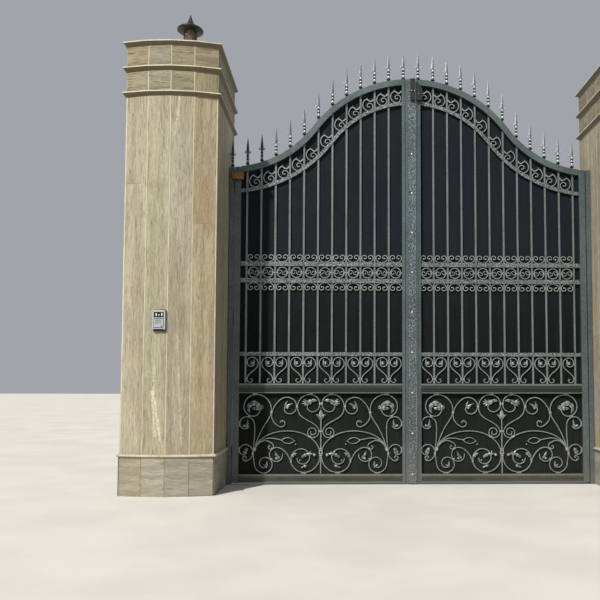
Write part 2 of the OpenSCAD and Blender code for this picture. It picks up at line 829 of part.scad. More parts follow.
// Hammered leaves: where each starts, its heading, length, turn, width and lobes. A bud stands on the
// stem, and the first leaf of each half is a petal spread beside it.
stem_bud = [[0, 515], 90, 105, 0, 34, 1];
half_panel_leaves = [
    [[0, 515], 85, 72, -75, 22, 1],
    [[112, 688], 190, 75, 25, 34, 3], [[128, 668], 48, 48, 0, 34, 3],
    [[346, 640], 150, 80, 20, 56, 3], [[595, 632], -5, 78, 10, 32, 3], [[597, 628], 175, 36, 0, 36, 2],
    [[592, 630], 80, 190, -215, 26, 4], [[702, 452], 85, 75, -10, 46, 3], [[752, 190], 125, 62, 20, 38, 3],
    [[540, 58], 118, 62, -10, 38, 3], [[440, 118], 105, 105, 35, 50, 3], [[118, 182], -20, 88, -10, 40, 3],
    [[229, 145], 80, 80, 45, 34, 3], [[142, 102], -32, 80, 0, 22, 3], [[125, 190], 185, 72, 0, 24, 2],
    [[390, 326], 192, 160, 15, 62, 3]
];

// Blocks that hold the half's bars to each other and to the stem: middle, width, height and slant
half_panel_blocks = [
    [[6, 675], 26, 30, 0], [[6, 408], 30, 18, 0], [[4, 208], 30, 26, 0], [[232, 648], 22, 24, 0],
    [[478, 590], 24, 18, 0], [[690, 556], 22, 14, 0], [[655, 192], 18, 30, 0], [[112, 356], 26, 16, 30],
    [[287, 118], 16, 26, 0], [[470, 240], 18, 18, 0], [[473, 140], 18, 18, 0], [[638, 235], 26, 34, 15]
];

// Pads that hold the rounds to the rails and the stile: their middle, on the frame's edge, and half size
half_panel_pads = [
    [[98, 775], 20, 16], [[640, 775], 24, 16], [[165, 0], 24, 16], [[548, 0], 24, 16],
    [[790, 480], 14, 26], [[790, 228], 14, 26]
];

block_out = 2;
module panel_leaf(l) {
    leaf_blade(stretched(leaf_line(l[0], l[1], l[2], l[3])), l[4], l[5]);
}

module panel_scrolls(side) {
    color(worn_iron)
        leaf(side)
            translate([meeting_in + panel_w / 2, 0, bottom_top_z]) {
                upright(bar_front, scroll_d) {
                    translate([-panel_t / 2, 0])
                        square([panel_t, panel_h]);
                    panel_leaf(stem_bud);
                    for (m = [0, 1])
                        mirror([m, 0]) {
                            for (p = half_panel_lines)
                                stroke(stretched(p), panel_t);
                            for (l = half_panel_leaves)
                                panel_leaf(l);
                        }
                }
                upright(bar_front - block_out, scroll_d + block_out) {
                    for (m = [0, 1])
                        mirror([m, 0]) {
                            for (b = half_panel_blocks)
                                translate([b[0][0] * stretch[0], b[0][1] * stretch[1]])
                                    rotate(b[3])
                                        square([b[1], b[2]], center = true);
                            intersection() {
                                square([panel_w / 2, panel_h]);
                                for (p = half_panel_pads)
                                    translate([p[0][0] * stretch[0], p[0][1] * stretch[1]])
                                        square([p[1], p[2]] * 2, center = true);
                            }
                        }
                }
            }
}

// Backing sheets behind the bars and behind the scroll panel
module backing(side) {
    color(sheet_dark)
        leaf(side)
            upright(bar_back, sheet_t) {
                under_arch(arch_w);
                translate([meeting_in, bottom_top_z])
                    square([stile_in - meeting_in, panel_top_z - bottom_top_z]);
            }
}

// Lock at the top of the gate: a box with a slanting shoulder on the right leaf, and on the left leaf
// its keeper, a taller box with a strap round it
latch_h = 219;
latch_t = 30;
latch_drop = 6;
latch_low_h = 82;
strap_h = 20;
strap_out = 3;
latch_z = apex_z - latch_drop - latch_h;
box_h = 185;
box_side_h = 114;
box_top_w = 8;
box_past_stile = 18;
keeper_left = -8;
keeper_inset = 4;
latch_green = [0.17, 0.21, 0.19];
module latch_box() {
    right = meeting_in + box_past_stile;
    color(latch_green)
        upright(frame_front - latch_t, latch_t - bead_out)
            polygon([
                [right_edge, latch_z], [right, latch_z], [right, latch_z + box_side_h],
                [right_edge + box_top_w, latch_z + box_h], [right_edge, latch_z + box_h]
            ]);
}

module latch_keeper() {
    left = keeper_left;
    right = strip_over - keeper_inset;
    front = frame_front - latch_t;
    color(latch_green) {
        upright(front, latch_t - strip_t)
            translate([left, latch_z])
                square([right - left, latch_h]);
        upright(front - strap_out, strap_out)
            translate([left, latch_z + latch_low_h])
                square([right - left, strap_h]);
    }
}

// Amber box on a short foot on the front of the left hinge stile
amber_w = 122;
amber_h = 74;
amber_t = 46;
amber_z = 3000;
amber_foot = [40, 8, 38];
module amber_box() {
    color([0.55, 0.40, 0.12])
        translate([-(stile_in + stile_w / 2), gate_setback + frame_front, amber_z]) {
            translate([-amber_w / 2, -amber_foot[1] - amber_t, -amber_h / 2])
                cube([amber_w, amber_t, amber_h]);
            translate([-amber_foot[0] / 2, -amber_foot[1], -amber_foot[2] / 2])
                cube(amber_foot);
        }
}

plinth(-1);  // left_plinth
base_ledge(-1);  // left_base_ledge
shaft(-1);  // left_shaft
crown(-1);  // left_crown
cap(-1);  // left_cap
lamp(-1);  // left_lamp
plinth(1);  // right_plinth
base_ledge(1);  // right_base_ledge
shaft(1);  // right_shaft
crown(1);  // right_crown
cap(1);  // right_cap
lamp(1);  // right_lamp
intercom();
hinge_post(-1);  // left_hinge_post
hinge_post(1);  // right_hinge_post
post_finial();  // left_post_finial
hinge_stile(-1);  // left_hinge_stile
meeting_stile(-1);  // left_meeting_stile
moulded_rail(-1, ground_gap, bottom_rail_h);  // left_bottom_rail
moulded_rail(-1, panel_top_z, middle_rail_h);  // left_middle_rail
arch_rail(-1);  // left_arch_rail
bars(-1);  // left_bars
flat_rails(-1);  // left_flat_rails
inner_arch_rail(-1);  // left_inner_arch_rail
finials(-1);  // left_finials
crest_scrolls(-1);  // left_crest_scrolls
ring_scrolls(-1);  // left_ring_scrolls
heart_scrolls(-1);  // left_heart_scrolls
panel_scrolls(-1);  // left_panel_scrolls
backing(-1);  // left_backing
cover_strip();
latch_keeper();
amber_box();
hinge_stile(1);  // right_hinge_stile
meeting_stile(1);  // right_meeting_stile
moulded_rail(1, ground_gap, bottom_rail_h);  // right_bottom_rail
moulded_rail(1, panel_top_z, middle_rail_h);  // right_middle_rail
arch_rail(1);  // right_arch_rail
bars(1);  // right_bars
flat_rails(1);  // right_flat_rails
inner_arch_rail(1);  // right_inner_arch_rail
finials(1);  // right_finials
crest_scrolls(1);  // right_crest_scrolls
ring_scrolls(1);  // right_ring_scrolls
heart_scrolls(1);  // right_heart_scrolls
panel_scrolls(1);  // right_panel_scrolls
backing(1);  // right_backing
latch_box();
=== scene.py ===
"""Looks of the wrought iron driveway gate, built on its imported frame.

Metres, Z up. X runs along the gate, Y goes inward from the street. Shapes are drawn in millimetres.
"""
import json
import math
import random

import bpy
from mathutils import Matrix, Vector
from mathutils.bvhtree import BVHTree


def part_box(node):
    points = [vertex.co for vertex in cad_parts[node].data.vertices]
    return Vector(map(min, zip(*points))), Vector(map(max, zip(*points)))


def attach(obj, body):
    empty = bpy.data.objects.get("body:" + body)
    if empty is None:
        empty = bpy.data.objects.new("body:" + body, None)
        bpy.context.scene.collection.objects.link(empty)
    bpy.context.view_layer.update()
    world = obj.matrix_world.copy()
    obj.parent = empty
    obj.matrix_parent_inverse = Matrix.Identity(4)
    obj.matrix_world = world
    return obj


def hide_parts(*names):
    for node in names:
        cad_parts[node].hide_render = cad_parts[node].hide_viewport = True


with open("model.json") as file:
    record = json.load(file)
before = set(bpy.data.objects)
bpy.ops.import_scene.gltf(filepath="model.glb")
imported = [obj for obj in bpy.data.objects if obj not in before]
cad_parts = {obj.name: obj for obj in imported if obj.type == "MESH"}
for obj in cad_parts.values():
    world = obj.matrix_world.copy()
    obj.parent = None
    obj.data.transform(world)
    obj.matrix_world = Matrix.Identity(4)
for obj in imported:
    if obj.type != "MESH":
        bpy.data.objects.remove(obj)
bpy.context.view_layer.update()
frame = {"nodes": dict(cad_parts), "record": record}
NODES = frame["nodes"]
SIDES = {"left": -1, "right": 1}
random.seed(5)


# Materials

MATERIALS = {}


class Graph:
    """The node tree of one material, with a short call for each kind of node that is used here."""

    def __init__(self, name):
        MATERIALS[name] = bpy.data.materials.new(name)
        MATERIALS[name].use_nodes = True
        self.tree = MATERIALS[name].node_tree
        self.shader = self.tree.nodes["Principled BSDF"]
        self.place = self.node("TexCoord").outputs["Object"]
        self.color = None

    def node(self, kind, inputs=None, **settings):
        made = self.tree.nodes.new("ShaderNode" + kind)
        for key, value in settings.items():
            setattr(made, key, value)
        for key, value in (inputs or {}).items():
            self.set(made.inputs[key], value)
        return made

    def set(self, socket, value):
        if isinstance(value, bpy.types.NodeSocket):
            self.tree.links.new(value, socket)
        else:
            socket.default_value = value

    def math(self, operation, a, b=0.0, clamp=False):
        return self.node("Math", {0: a, 1: b}, operation=operation, use_clamp=clamp).outputs[0]

    def plus(self, first, *rest):
        for term in rest:
            first = self.math("ADD", first, term)
        return first

    def times(self, a, b):
        return self.math("MULTIPLY", a, b)

    def swing(self, noise, size):
        """Noise from 0 to 1 as a swing of a size about zero."""
        return self.times(self.math("SUBTRACT", noise, 0.5), size)

    def vector(self, operation, a, b, output=0):
        return self.node("VectorMath", {0: a, 1: b}, operation=operation).outputs[output]

    def stretch(self, vector, scale):
        return self.node("Mapping", {"Vector": vector, "Scale": scale}).outputs[0]

    def noise(self, vector, scale, detail=3.0, roughness=0.55, distortion=0.0):
        return self.node("TexNoise", {
            "Vector": vector, "Scale": scale, "Detail": detail, "Roughness": roughness,
            "Distortion": distortion}).outputs["Fac"]

    def dents(self, scale):
        return self.node("TexVoronoi", {"Vector": self.place, "Scale": scale},
                         feature="SMOOTH_F1").outputs["Distance"]

    def between(self, value, low, high, out_low=0.0, out_high=1.0):
        return self.node("MapRange", {
            "Value": value, "From Min": low, "From Max": high, "To Min": out_low,
            "To Max": out_high}, interpolation_type="SMOOTHSTEP").outputs[0]

    def mix(self, factor, a, b, blend="MIX"):
        made = self.node("Mix", data_type="RGBA", blend_type=blend)
        for index, value in ((0, factor), (6, a), (7, b)):
            self.set(made.inputs[index], value)
        return made.outputs[2]

    def attribute(self, name, output="Fac"):
        return self.node("Attribute", attribute_name=name).outputs[output]

    def along(self, axis):
        return self.node("SeparateXYZ", {0: self.place}).outputs[axis]

    def facing(self, axis):
        normal = self.node("TexCoord").outputs["Normal"]
        return self.node("SeparateXYZ", {0: normal}).outputs[axis]

    def line_gap(self, start, end):
        """Distance in metres from a line on the front of the gate, given by X and Z at its two ends."""
        flat = self.vector("MULTIPLY", self.place, (1, 0, 1))
        start = Vector((start[0], 0, start[1]))
        run = Vector((end[0], 0, end[1])) - start
        past = self.vector("SUBTRACT", flat, start)
        share = self.math("DIVIDE", self.vector("DOT_PRODUCT", past, run, "Value"), run.length_squared, True)
        foot = self.node("VectorMath", {0: run, "Scale": share}, operation="SCALE").outputs[0]
        return self.vector("LENGTH", self.vector("SUBTRACT", past, foot), (0, 0, 0), "Value")

    def ground(self, mask, seen, other):
        """The first colour, from one seen to the other as the mask says."""
        self.color = self.mix(mask, tone(seen), tone(other))

    def paint(self, mask, seen, level=1.0):
        """Lays a colour over what is painted so far, as far as the mask says."""
        self.color = self.mix(mask, self.color, tone(seen, level))

    def splash(self, top, share, patches, seen):
        """Dirt in patches from the ground up to a height in metres, less of it the higher it is."""
        self.paint(self.times(self.between(self.along("Z"), 0.0, top, share, 0.0), patches), seen)

    def bump(self, height, strength, distance):
        made = self.node("Bump", {"Height": height, "Strength": strength, "Distance": distance})
        self.set(self.shader.inputs["Normal"], made.outputs[0])

    def finish(self, roughness, metallic=0.0, **plain):
        plain.update(Base_Color=self.color, Roughness=roughness, Metallic=metallic)
        for key, value in plain.items():
            self.set(self.shader.inputs[key.replace("_", " ")], value)


def tone(seen, level=1.0):
    """A colour as it is seen on screen, from 0 to 1, times a level, for a shader's linear socket."""
    linear = []
    for share in seen:
        c = share * level
        linear.append(((c + 0.055) / 1.055) ** 2.4 if c > 0.04045 else c / 12.92)
    return (*linear, 1.0)


def iron(name, dark, rubbed_and_sheen, rub_sheen_low, rub_sheen_high, hammered=0.0, grain=1.0, recess=None):
    """Dark paint on iron, silver rubbing where it stands out, and painted highlight on faces toward the
    street or sky.

    A shape's own mark, of worn paint and of painted shade and highlight, from -1 to 1 makes it blacker or
    brighter than that. Paint deeper than the recess, a depth along Y in metres, is darkened with painted
    shade.
    """
    g = Graph(name)
    broad = g.noise(g.place, 3.0, 3.0)
    blotch = g.noise(g.place, 85.0, 4.0, 0.62)
    fine = g.noise(g.place, 420.0, 3.0, 0.6)
    own = g.attribute("wear_and_painted_light")
    # Painted highlight: faces toward the street or away from it, and faces toward the sky, are lit up with
    # the silver of the rubbing.
    front = g.math("ABSOLUTE", g.facing("Y"))
    up = g.math("MAXIMUM", g.facing("Z"), 0.0)
    highlight_facing = g.math("MAXIMUM", front, g.times(up, 0.9))
    mottle = g.plus(g.times(blotch, 0.6 * grain), g.times(fine, 0.4 * grain), 0.5 * (1 - grain))
    wear_and_painted_light = g.plus(g.times(highlight_facing, mottle), g.swing(broad, 0.22), g.times(own, 0.35))
    rub_and_sheen = g.between(wear_and_painted_light, rub_sheen_low, rub_sheen_high)
    g.ground(rub_and_sheen, dark, rubbed_and_sheen)
    # A shape's own mark paints it pale silver where high, as worn paint and, on the finial bulbs, as painted
    # highlight; and nearly black where low, as dark paint and, on spears in shade, as painted shadow.
    g.paint(g.between(own, 0.35, 1.0, 0.0, 0.8), (0.84, 0.86, 0.85))
    g.paint(g.between(own, -0.3, -1.0, 0.0, 0.9), (0.07, 0.085, 0.08))
    if recess:
        # Painted shade in the rail's recess, behind its raised edges.
        g.paint(g.between(g.along("Y"), recess, recess + 0.004, 0.0, 0.88), (0.07, 0.095, 0.085))
    height = g.plus(g.times(fine, 0.25), g.times(blotch, 0.4))
    if hammered:
        dents = g.dents(hammered)
        height = g.plus(height, g.times(dents, 2.4))
        g.paint(g.between(dents, 0.15, 0.6, 0.85, 0.0), dark, 0.4)
        g.paint(g.between(dents, 0.5, 0.9, 0.0, 0.5), rubbed_and_sheen, 1.2)
    rust = g.times(g.between(g.noise(g.place, 30.0, 5.0, 0.7), 0.60, 0.74, 0.0, 0.35),
                   g.between(g.along("Z"), 0.0, 1.2, 1.0, 0.25))
    g.paint(rust, (0.30, 0.22, 0.16))
    g.splash(0.6, 0.42, g.noise(g.place, 9.0, 4.0), (0.52, 0.48, 0.41))
    g.bump(height, 0.55 * grain, 0.0018)
    g.finish(g.between(fine, 0.3, 0.7, 0.32, 0.50), g.times(rub_and_sheen, 0.6))


# Marks that weather has left on the front of the left pillar: X and Z at both ends of each, half its
# width, its colour and its strength
STAINS = [
    ((-2.305, 1.120), (-2.312, 0.900), 0.006, (0.84, 0.81, 0.71), 0.55),
    ((-2.312, 0.900), (-2.240, 0.475), 0.009, (0.86, 0.83, 0.73), 0.75),
    ((-2.322, 0.900), (-2.288, 0.520), 0.008, (0.86, 0.83, 0.73), 0.70),
    ((-2.119, 1.610), (-2.065, 0.450), 0.007, (0.82, 0.78, 0.67), 0.40),
    ((-2.069, 0.425), (-2.066, 0.395), 0.012, (0.55, 0.26, 0.18), 0.50),
    ((-2.122, 3.500), (-2.140, 3.330), 0.009, (0.84, 0.81, 0.71), 0.55),
    ((-2.140, 3.330), (-2.163, 3.160), 0.006, (0.84, 0.81, 0.71), 0.45),
    ((-2.128, 3.400), (-2.122, 3.250), 0.005, (0.84, 0.81, 0.71), 0.45),
    ((-2.110, 1.460), (-2.095, 1.580), 0.060, (0.47, 0.46, 0.36), 0.50),
    ((-1.930, 2.800), (-1.860, 2.360), 0.060, (0.55, 0.42, 0.27), 0.35),
]


def weather_marks(g, place):
    """Paints the stains, with ragged edges and gaps, on what faces the street left of the middle."""
    ragged = g.swing(g.noise(place, 60.0, 5.0, 0.7), 0.06)
    on_front = g.between(g.along("Y"), -0.40, -0.43)
    left_front = g.times(on_front, g.between(g.along("X"), 0.0, -0.1))
    broken = g.times(left_front, g.between(g.noise(place, 48.0, 5.0, 0.7), 0.38, 0.58, 0.25))
    for start, end, half, seen, strength in STAINS:
        gap = g.plus(g.line_gap(start, end), ragged)
        g.paint(g.times(g.between(gap, half * 1.6, half * 0.3, 0.0, strength), broken), seen)


def travertine(name, base, pale, brown, upright, pits=1.0, stained=False):
    """Vein cut travertine: streaks one way, each slab with its own tint and its own stretch of stone."""
    g = Graph(name)
    own = g.attribute("slab")
    apart = [g.times(own, far) for far in (13.0, 7.0, 29.0)]
    shift = g.node("CombineXYZ", dict(enumerate(apart))).outputs[0]
    place = g.vector("ADD", g.place, shift)
    wander = g.node("TexNoise", {"Vector": place, "Scale": 3.0, "Detail": 3.0}).outputs["Color"]
    wavy = g.vector("ADD", place, g.vector("MULTIPLY", wander, (0.04, 0.04, 0.04)))

    def drawn_out(up, level):
        return g.stretch(wavy, (1.0, 1.0, up) if upright else (level, level, 1.0))

    lined, short = drawn_out(0.05, 0.08), drawn_out(0.10, 0.12)
    bands = g.noise(lined, 16.0, 3.0, 0.5)
    veins = g.noise(lined, 85.0, 4.0, 0.62, 0.3)
    dashes = g.noise(short, 120.0, 4.0, 0.65, 0.4)
    hair = g.noise(short, 330.0, 3.0, 0.6)
    clouds = g.noise(place, 5.0, 4.0, 0.6)
    holes = g.noise(drawn_out(0.3, 0.3), 200.0, 2.0, 0.5)
    pit = g.between(holes, 0.67, 0.74, 0.0, pits)
    g.ground(g.between(bands, 0.34, 0.66), base, pale)
    g.paint(g.between(clouds, 0.45, 0.75, 0.0, 0.3), base, 0.86)
    g.paint(g.between(veins, 0.50, 0.66, 0.0, 0.55), brown)
    g.paint(g.between(dashes, 0.53, 0.68, 0.0, 0.60), brown, 0.84)
    g.paint(g.between(hair, 0.45, 0.75, 0.0, 0.30), brown, 0.78)
    g.paint(g.between(dashes, 0.46, 0.30, 0.0, 0.65), pale, 1.12)
    g.color = g.mix(1.0, g.color, g.attribute("tint", "Color"), "MULTIPLY")
    if stained:
        weather_marks(g, place)
    g.splash(0.7, 0.45, g.noise(place, 11.0, 4.0), (0.50, 0.46, 0.38))
    g.paint(g.times(pit, 0.65), brown, 0.55)
    g.bump(g.math("SUBTRACT", g.times(dashes, 0.4), pit), 0.4, 0.0018)
    g.finish(g.between(veins, 0.3, 0.7, 0.55, 0.78))


def honed_stone(name, base, pale, brown):
    """Cream stone of the ledges, and dark grout: soft clouds, rain marks and painted shade on undersides."""
    g = Graph(name)
    clouds = g.noise(g.place, 7.0, 4.0, 0.6)
    runs = g.noise(g.stretch(g.place, (1.0, 1.0, 0.12)), 26.0, 4.0, 0.6)
    grit = g.noise(g.place, 320.0, 2.0)
    g.ground(g.between(clouds, 0.3, 0.7), base, pale)
    g.paint(g.between(runs, 0.5, 0.78, 0.0, 0.55), brown)
    # Painted shade: faces that look down are darkened.
    g.paint(g.between(g.facing("Z"), -0.1, -0.5, 0.0, 0.92), (0.32, 0.27, 0.19))
    g.bump(g.plus(grit, clouds), 0.25, 0.0012)
    g.finish(g.between(grit, 0.3, 0.7, 0.5, 0.72))


def sheet_paint(name):
    """Matt charcoal paint on the backing sheets, bluer higher up, with dust and rain marks."""
    g = Graph(name)
    runs = g.noise(g.stretch(g.place, (1.0, 1.0, 0.06)), 22.0, 4.0, 0.6)
    dust = g.noise(g.place, 5.0, 5.0, 0.6)
    g.ground(g.between(g.along("Z"), 1.3, 2.4), (0.035, 0.058, 0.050), (0.070, 0.098, 0.130))
    g.paint(g.between(runs, 0.4, 0.75, 0.0, 0.6), (0.085, 0.112, 0.112))
    g.splash(1.1, 0.35, dust, (0.26, 0.26, 0.23))
    g.bump(g.noise(g.place, 400.0, 2.0), 0.1, 0.0006)
    g.finish(g.between(dust, 0.3, 0.7, 0.6, 0.8), Specular_IOR_Level=0.12)


def plain_metal(name, base, worn, metallic, smooth, rough, **plain):
    """Paint, plastic or metal with faint clouds and a grain. A shape's "wear" makes it paler or darker."""
    g = Graph(name)
    fine = g.noise(g.place, 260.0, 4.0)
    broad = g.noise(g.place, 22.0, 4.0)
    own = g.attribute("wear_and_painted_light")
    g.ground(g.between(g.plus(broad, g.times(own, 0.3)), 0.35, 0.7), base, worn)
    g.paint(g.between(own, -0.3, -1.0, 0.0, 0.85), base, 0.3)
    g.bump(fine, 0.15, 0.0008)
    g.finish(g.between(fine, 0.3, 0.7, smooth, rough), metallic, **plain)


def floor_paint(name):
    g = Graph(name)
    g.ground(g.between(g.noise(g.place, 1.2, 4.0), 0.3, 0.7), (0.80, 0.79, 0.76), (0.84, 0.83, 0.80))
    g.finish(0.8)


# Ground, bands and veins of the travertines
SHAFT_TONES = ((0.585, 0.548, 0.462), (0.66, 0.63, 0.55), (0.445, 0.39, 0.29))
CROWN_TONES = ((0.485, 0.452, 0.370), (0.57, 0.54, 0.45), (0.31, 0.265, 0.19))
PLINTH_TONES = ((0.55, 0.53, 0.465), (0.66, 0.64, 0.57), (0.45, 0.42, 0.355))
# Depth in metres from which a rail is darkened with painted shade, behind its raised edges
RAIL_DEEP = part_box("right_bottom_rail")[0].y + 0.003
travertine("travertine_upright", *SHAFT_TONES, True, stained=True)
travertine("travertine_level", *CROWN_TONES, False)
travertine("travertine_tile", *CROWN_TONES, True)
honed_stone("cream_stone", (0.72, 0.68, 0.57), (0.80, 0.77, 0.68), (0.56, 0.49, 0.37))
honed_stone("joint_stone", (0.30, 0.28, 0.23), (0.38, 0.35, 0.29), (0.24, 0.21, 0.17))
travertine("plinth_stone", *PLINTH_TONES, False, 0.3)
iron("frame_iron", (0.17, 0.205, 0.205), (0.42, 0.475, 0.485), 0.34, 0.66, grain=0.7)
iron("rail_iron", (0.17, 0.20, 0.185), (0.47, 0.505, 0.48), 0.30, 0.60, recess=RAIL_DEEP)
iron("bar_iron", (0.18, 0.21, 0.21), (0.52, 0.555, 0.55), 0.30, 0.64, grain=0.5)
iron("hammered_iron", (0.19, 0.22, 0.225), (0.58, 0.62, 0.62), 0.33, 0.62, 105.0)
iron("strip_iron", (0.12, 0.15, 0.16), (0.51, 0.56, 0.58), 0.33, 0.62, 90.0)
iron("scroll_iron", (0.22, 0.25, 0.25), (0.62, 0.66, 0.64), 0.30, 0.60)
iron("panel_iron", (0.18, 0.21, 0.205), (0.61, 0.645, 0.63), 0.30, 0.60)
iron("finial_iron", (0.20, 0.23, 0.235), (0.56, 0.60, 0.61), 0.32, 0.60)
iron("latch_iron", (0.08, 0.11, 0.09), (0.19, 0.24, 0.21), 0.44, 0.72)
sheet_paint("sheet_iron")
plain_metal("lamp_metal", (0.12, 0.13, 0.12), (0.22, 0.23, 0.21), 0.4, 0.30, 0.50)
plain_metal("lamp_bronze", (0.26, 0.20, 0.16), (0.46, 0.37, 0.30), 0.5, 0.28, 0.45)
plain_metal("lamp_glass", (0.40, 0.34, 0.28), (0.55, 0.47, 0.40), 0.0, 0.10, 0.22,
            Transmission_Weight=0.35, Coat_Weight=0.5)
plain_metal("intercom_metal", (0.70, 0.73, 0.75), (0.80, 0.82, 0.83), 0.6, 0.30, 0.42)
plain_metal("black_plastic", (0.06, 0.07, 0.07), (0.10, 0.11, 0.11), 0.0, 0.16, 0.30)
plain_metal("pale_plastic", (0.82, 0.86, 0.84), (0.90, 0.92, 0.91), 0.0, 0.30, 0.45)
plain_metal("amber_plastic", (0.44, 0.30, 0.07), (0.55, 0.39, 0.11), 0.0, 0.18, 0.32,
            Coat_Weight=0.4)
floor_paint("floor_paint")


# Measures, in millimetres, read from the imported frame

MM = 0.001


def reach(node):
    """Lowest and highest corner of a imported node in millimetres."""
    low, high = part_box(node)
    return low / MM, high / MM


BAR_COUNT = 11
BARS_LOW, BARS_HIGH = reach("right_bars")
BAR_S = BARS_HIGH.y - BARS_LOW.y
BAR_FRONT = BARS_LOW.y
GATE_Y = BAR_FRONT + BAR_S / 2
MEETING_IN = reach("right_bottom_rail")[0].x
STILE_IN = reach("right_bottom_rail")[1].x
CELLS_LOW, CELLS_HIGH = reach("right_ring_scrolls")
PITCH = (CELLS_HIGH.x - CELLS_LOW.x + BAR_S) / BAR_COUNT
CELL_W = PITCH - BAR_S
RING_Z = (CELLS_LOW.z + CELLS_HIGH.z) / 2
MIDDLE_TOP = reach("right_middle_rail")[1].z
BOTTOM_TOP = reach("right_bottom_rail")[1].z
PANEL_TOP = reach("right_middle_rail")[0].z
FLAT_FRONT = reach("right_flat_rails")[0].y
HEART_H = reach("right_flat_rails")[0].z - MIDDLE_TOP
BAND_HALF = reach("right_flat_rails")[1].z - RING_Z


def cell_x(i):
    return MEETING_IN + i * PITCH


def cell_mid(i):
    return cell_x(i) + CELL_W / 2


def bar_x(i):
    return cell_x(i) + CELL_W + BAR_S / 2


def tree_of(node):
    mesh = NODES[node].data
    return BVHTree.FromPolygons([v.co for v in mesh.vertices], [p.vertices for p in mesh.polygons])


def met(tree, origin, direction):
    """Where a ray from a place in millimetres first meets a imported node, in millimetres."""
    return tree.ray_cast(Vector(origin) * MM, Vector(direction))[0] / MM


# Shells that are joined into pieces

def put(name, data):
    """A new object in the scene."""
    obj = bpy.data.objects.new(name, data)
    bpy.context.scene.collection.objects.link(obj)
    return obj


class Shells:
    """Closed shells in millimetres, collected into one mesh with a mark on each point.

    Those of a leaf are drawn for the right one.
    """

    # The attribute that keeps the marks
    MARK = "wear_and_painted_light"

    def __init__(self):
        self.points = []
        self.faces = []
        self.marks = []

    def add(self, points, faces, mark=0.0):
        start = len(self.points)
        self.points += [tuple(p) for p in points]
        self.faces += [tuple(start + i for i in face) for face in faces]
        self.marks += list(mark) if isinstance(mark, (list, tuple)) else [mark] * len(points)

    def mesh(self, name, material, side=1):
        """The mesh of all shells with its material, mirrored for side -1."""
        made = bpy.data.meshes.new(name)
        faces = self.faces if side > 0 else [face[::-1] for face in self.faces]
        made.from_pydata([(side * x * MM, y * MM, z * MM) for x, y, z in self.points], [], faces)
        made.attributes.new(self.MARK, "FLOAT", "POINT").data.foreach_set("value", self.marks)
        made.materials.append(MATERIALS[material])
        return made

    def piece(self, name, body, slot, material, side=1, stands_for=(), smooth_under=40):
        mesh = self.mesh(name, material, side)
        mesh.polygons.foreach_set("use_smooth", [True] * len(self.faces))
        mesh.set_sharp_from_angle(angle=math.radians(smooth_under))
        mesh.update()
        obj = put(name, mesh)
        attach(obj, body)
        if stands_for:
            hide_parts(*stands_for)


def tube(rings, closed=False):
    """Points and faces of a shell through rings of equally many points, closed at its ends.

    Seen in the direction from the first ring to the last, the points of a ring run anticlockwise.
    """
    count = len(rings[0])
    points = [p for ring in rings for p in ring]
    faces = []
    for i in range(len(rings) if closed else len(rings) - 1):
        a, b = i * count, (i + 1) % len(rings) * count
        faces += [(a + k, b + k, b + (k + 1) % count, a + (k + 1) % count) for k in range(count)]
    if not closed:
        faces += [tuple(range(count)), tuple(range(len(points) - 1, len(points) - count - 1, -1))]
    return points, faces


def sides(line, closed=False):
    """The unit vector to the left of a line at each of its points."""
    last = len(line) - 1
    out = []
    for i in range(len(line)):
        if closed:
            along = line[(i + 1) % len(line)] - line[i - 1]
        else:
            along = line[min(i + 1, last)] - line[max(i - 1, 0)]
        along = along.normalized()
        out.append(Vector((-along.y, along.x)))
    return out


def rod(shells, line, width, depth, front, closed=False, edge=1.4, mark=0.0, taper=None):
    """A bar swept along a line in the plane of a leaf, its corners cut, its face at the depth front."""
    rings = []
    for i, (p, left) in enumerate(zip(line, sides(line, closed))):
        w = width / 2 * (taper(i / (len(line) - 1)) if taper else 1.0)
        e = min(edge, w * 0.6)
        section = [(w - e, 0), (w, e), (w, depth - e), (w - e, depth),
                   (e - w, depth), (-w, depth - e), (-w, e), (e - w, 0)]
        rings.append([(p.x + left.x * a, front + b, p.y + left.y * a) for a, b in section])
    shells.add(*tube(rings, closed), mark)


def lathe(shells, profile, middle, segments=20, mark=0.0, toward_street=False):
    """A turned shape. Its profile lists the radius and the height of each step from its foot to its tip,
    and may add a mark to a step. It stands up, or points to the street."""
    x, y, z = middle
    rings = []
    marks = []
    for step in profile:
        r, rise = step[:2]
        ring = []
        for k in range(segments):
            turn = 2 * math.pi * k / segments
            a, b = r * math.sin(turn), r * math.cos(turn)
            ring.append((x + a, y - rise, z + b) if toward_street else (x + a, y + b, z + rise))
        rings.append(ring)
        marks += [step[2] if len(step) > 2 else mark] * segments
    shells.add(*tube(rings), marks)


def ball(shells, middle, radius, flat=1.0, mark=0.0, toward_street=False):
    """A small ball, its height from pole to pole a share, flat, of its width."""
    rows = 7
    profile = []
    for k in range(rows + 1):
        turn = math.pi * k / rows
        profile.append((max(radius * math.sin(turn), 0.05), -radius * flat * math.cos(turn)))
    lathe(shells, profile, middle, 12, mark, toward_street)


def block(shells, middle, size, slant=0.0, mark=0.0, edge=1.2):
    """A block with its front edges cut: its middle, its size across, back and up; slant turns it."""
    x, y, z = middle
    wide, deep, tall = size
    c, s = math.cos(math.radians(slant)), math.sin(math.radians(slant))
    rings = []
    for back, cut in ((deep / 2, 0), (edge - deep / 2, 0), (-deep / 2, edge)):
        w, h = wide / 2 - cut, tall / 2 - cut
        corners = ((-w, h), (w, h), (w, -h), (-w, -h))
        rings.append([(x + a * c - b * s, y + back, z + a * s + b * c) for a, b in corners])
    shells.add(*tube(rings), mark)




# Scrolls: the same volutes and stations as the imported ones, drawn finer, with sculpted leaves

def toward(angle):
    return Vector((math.cos(math.radians(angle)), math.sin(math.radians(angle))))


# Degrees from point to point of a volute, and how much closer its points stand near the rim
VOLUTE_STEP = 10
CROWDING = 0.35


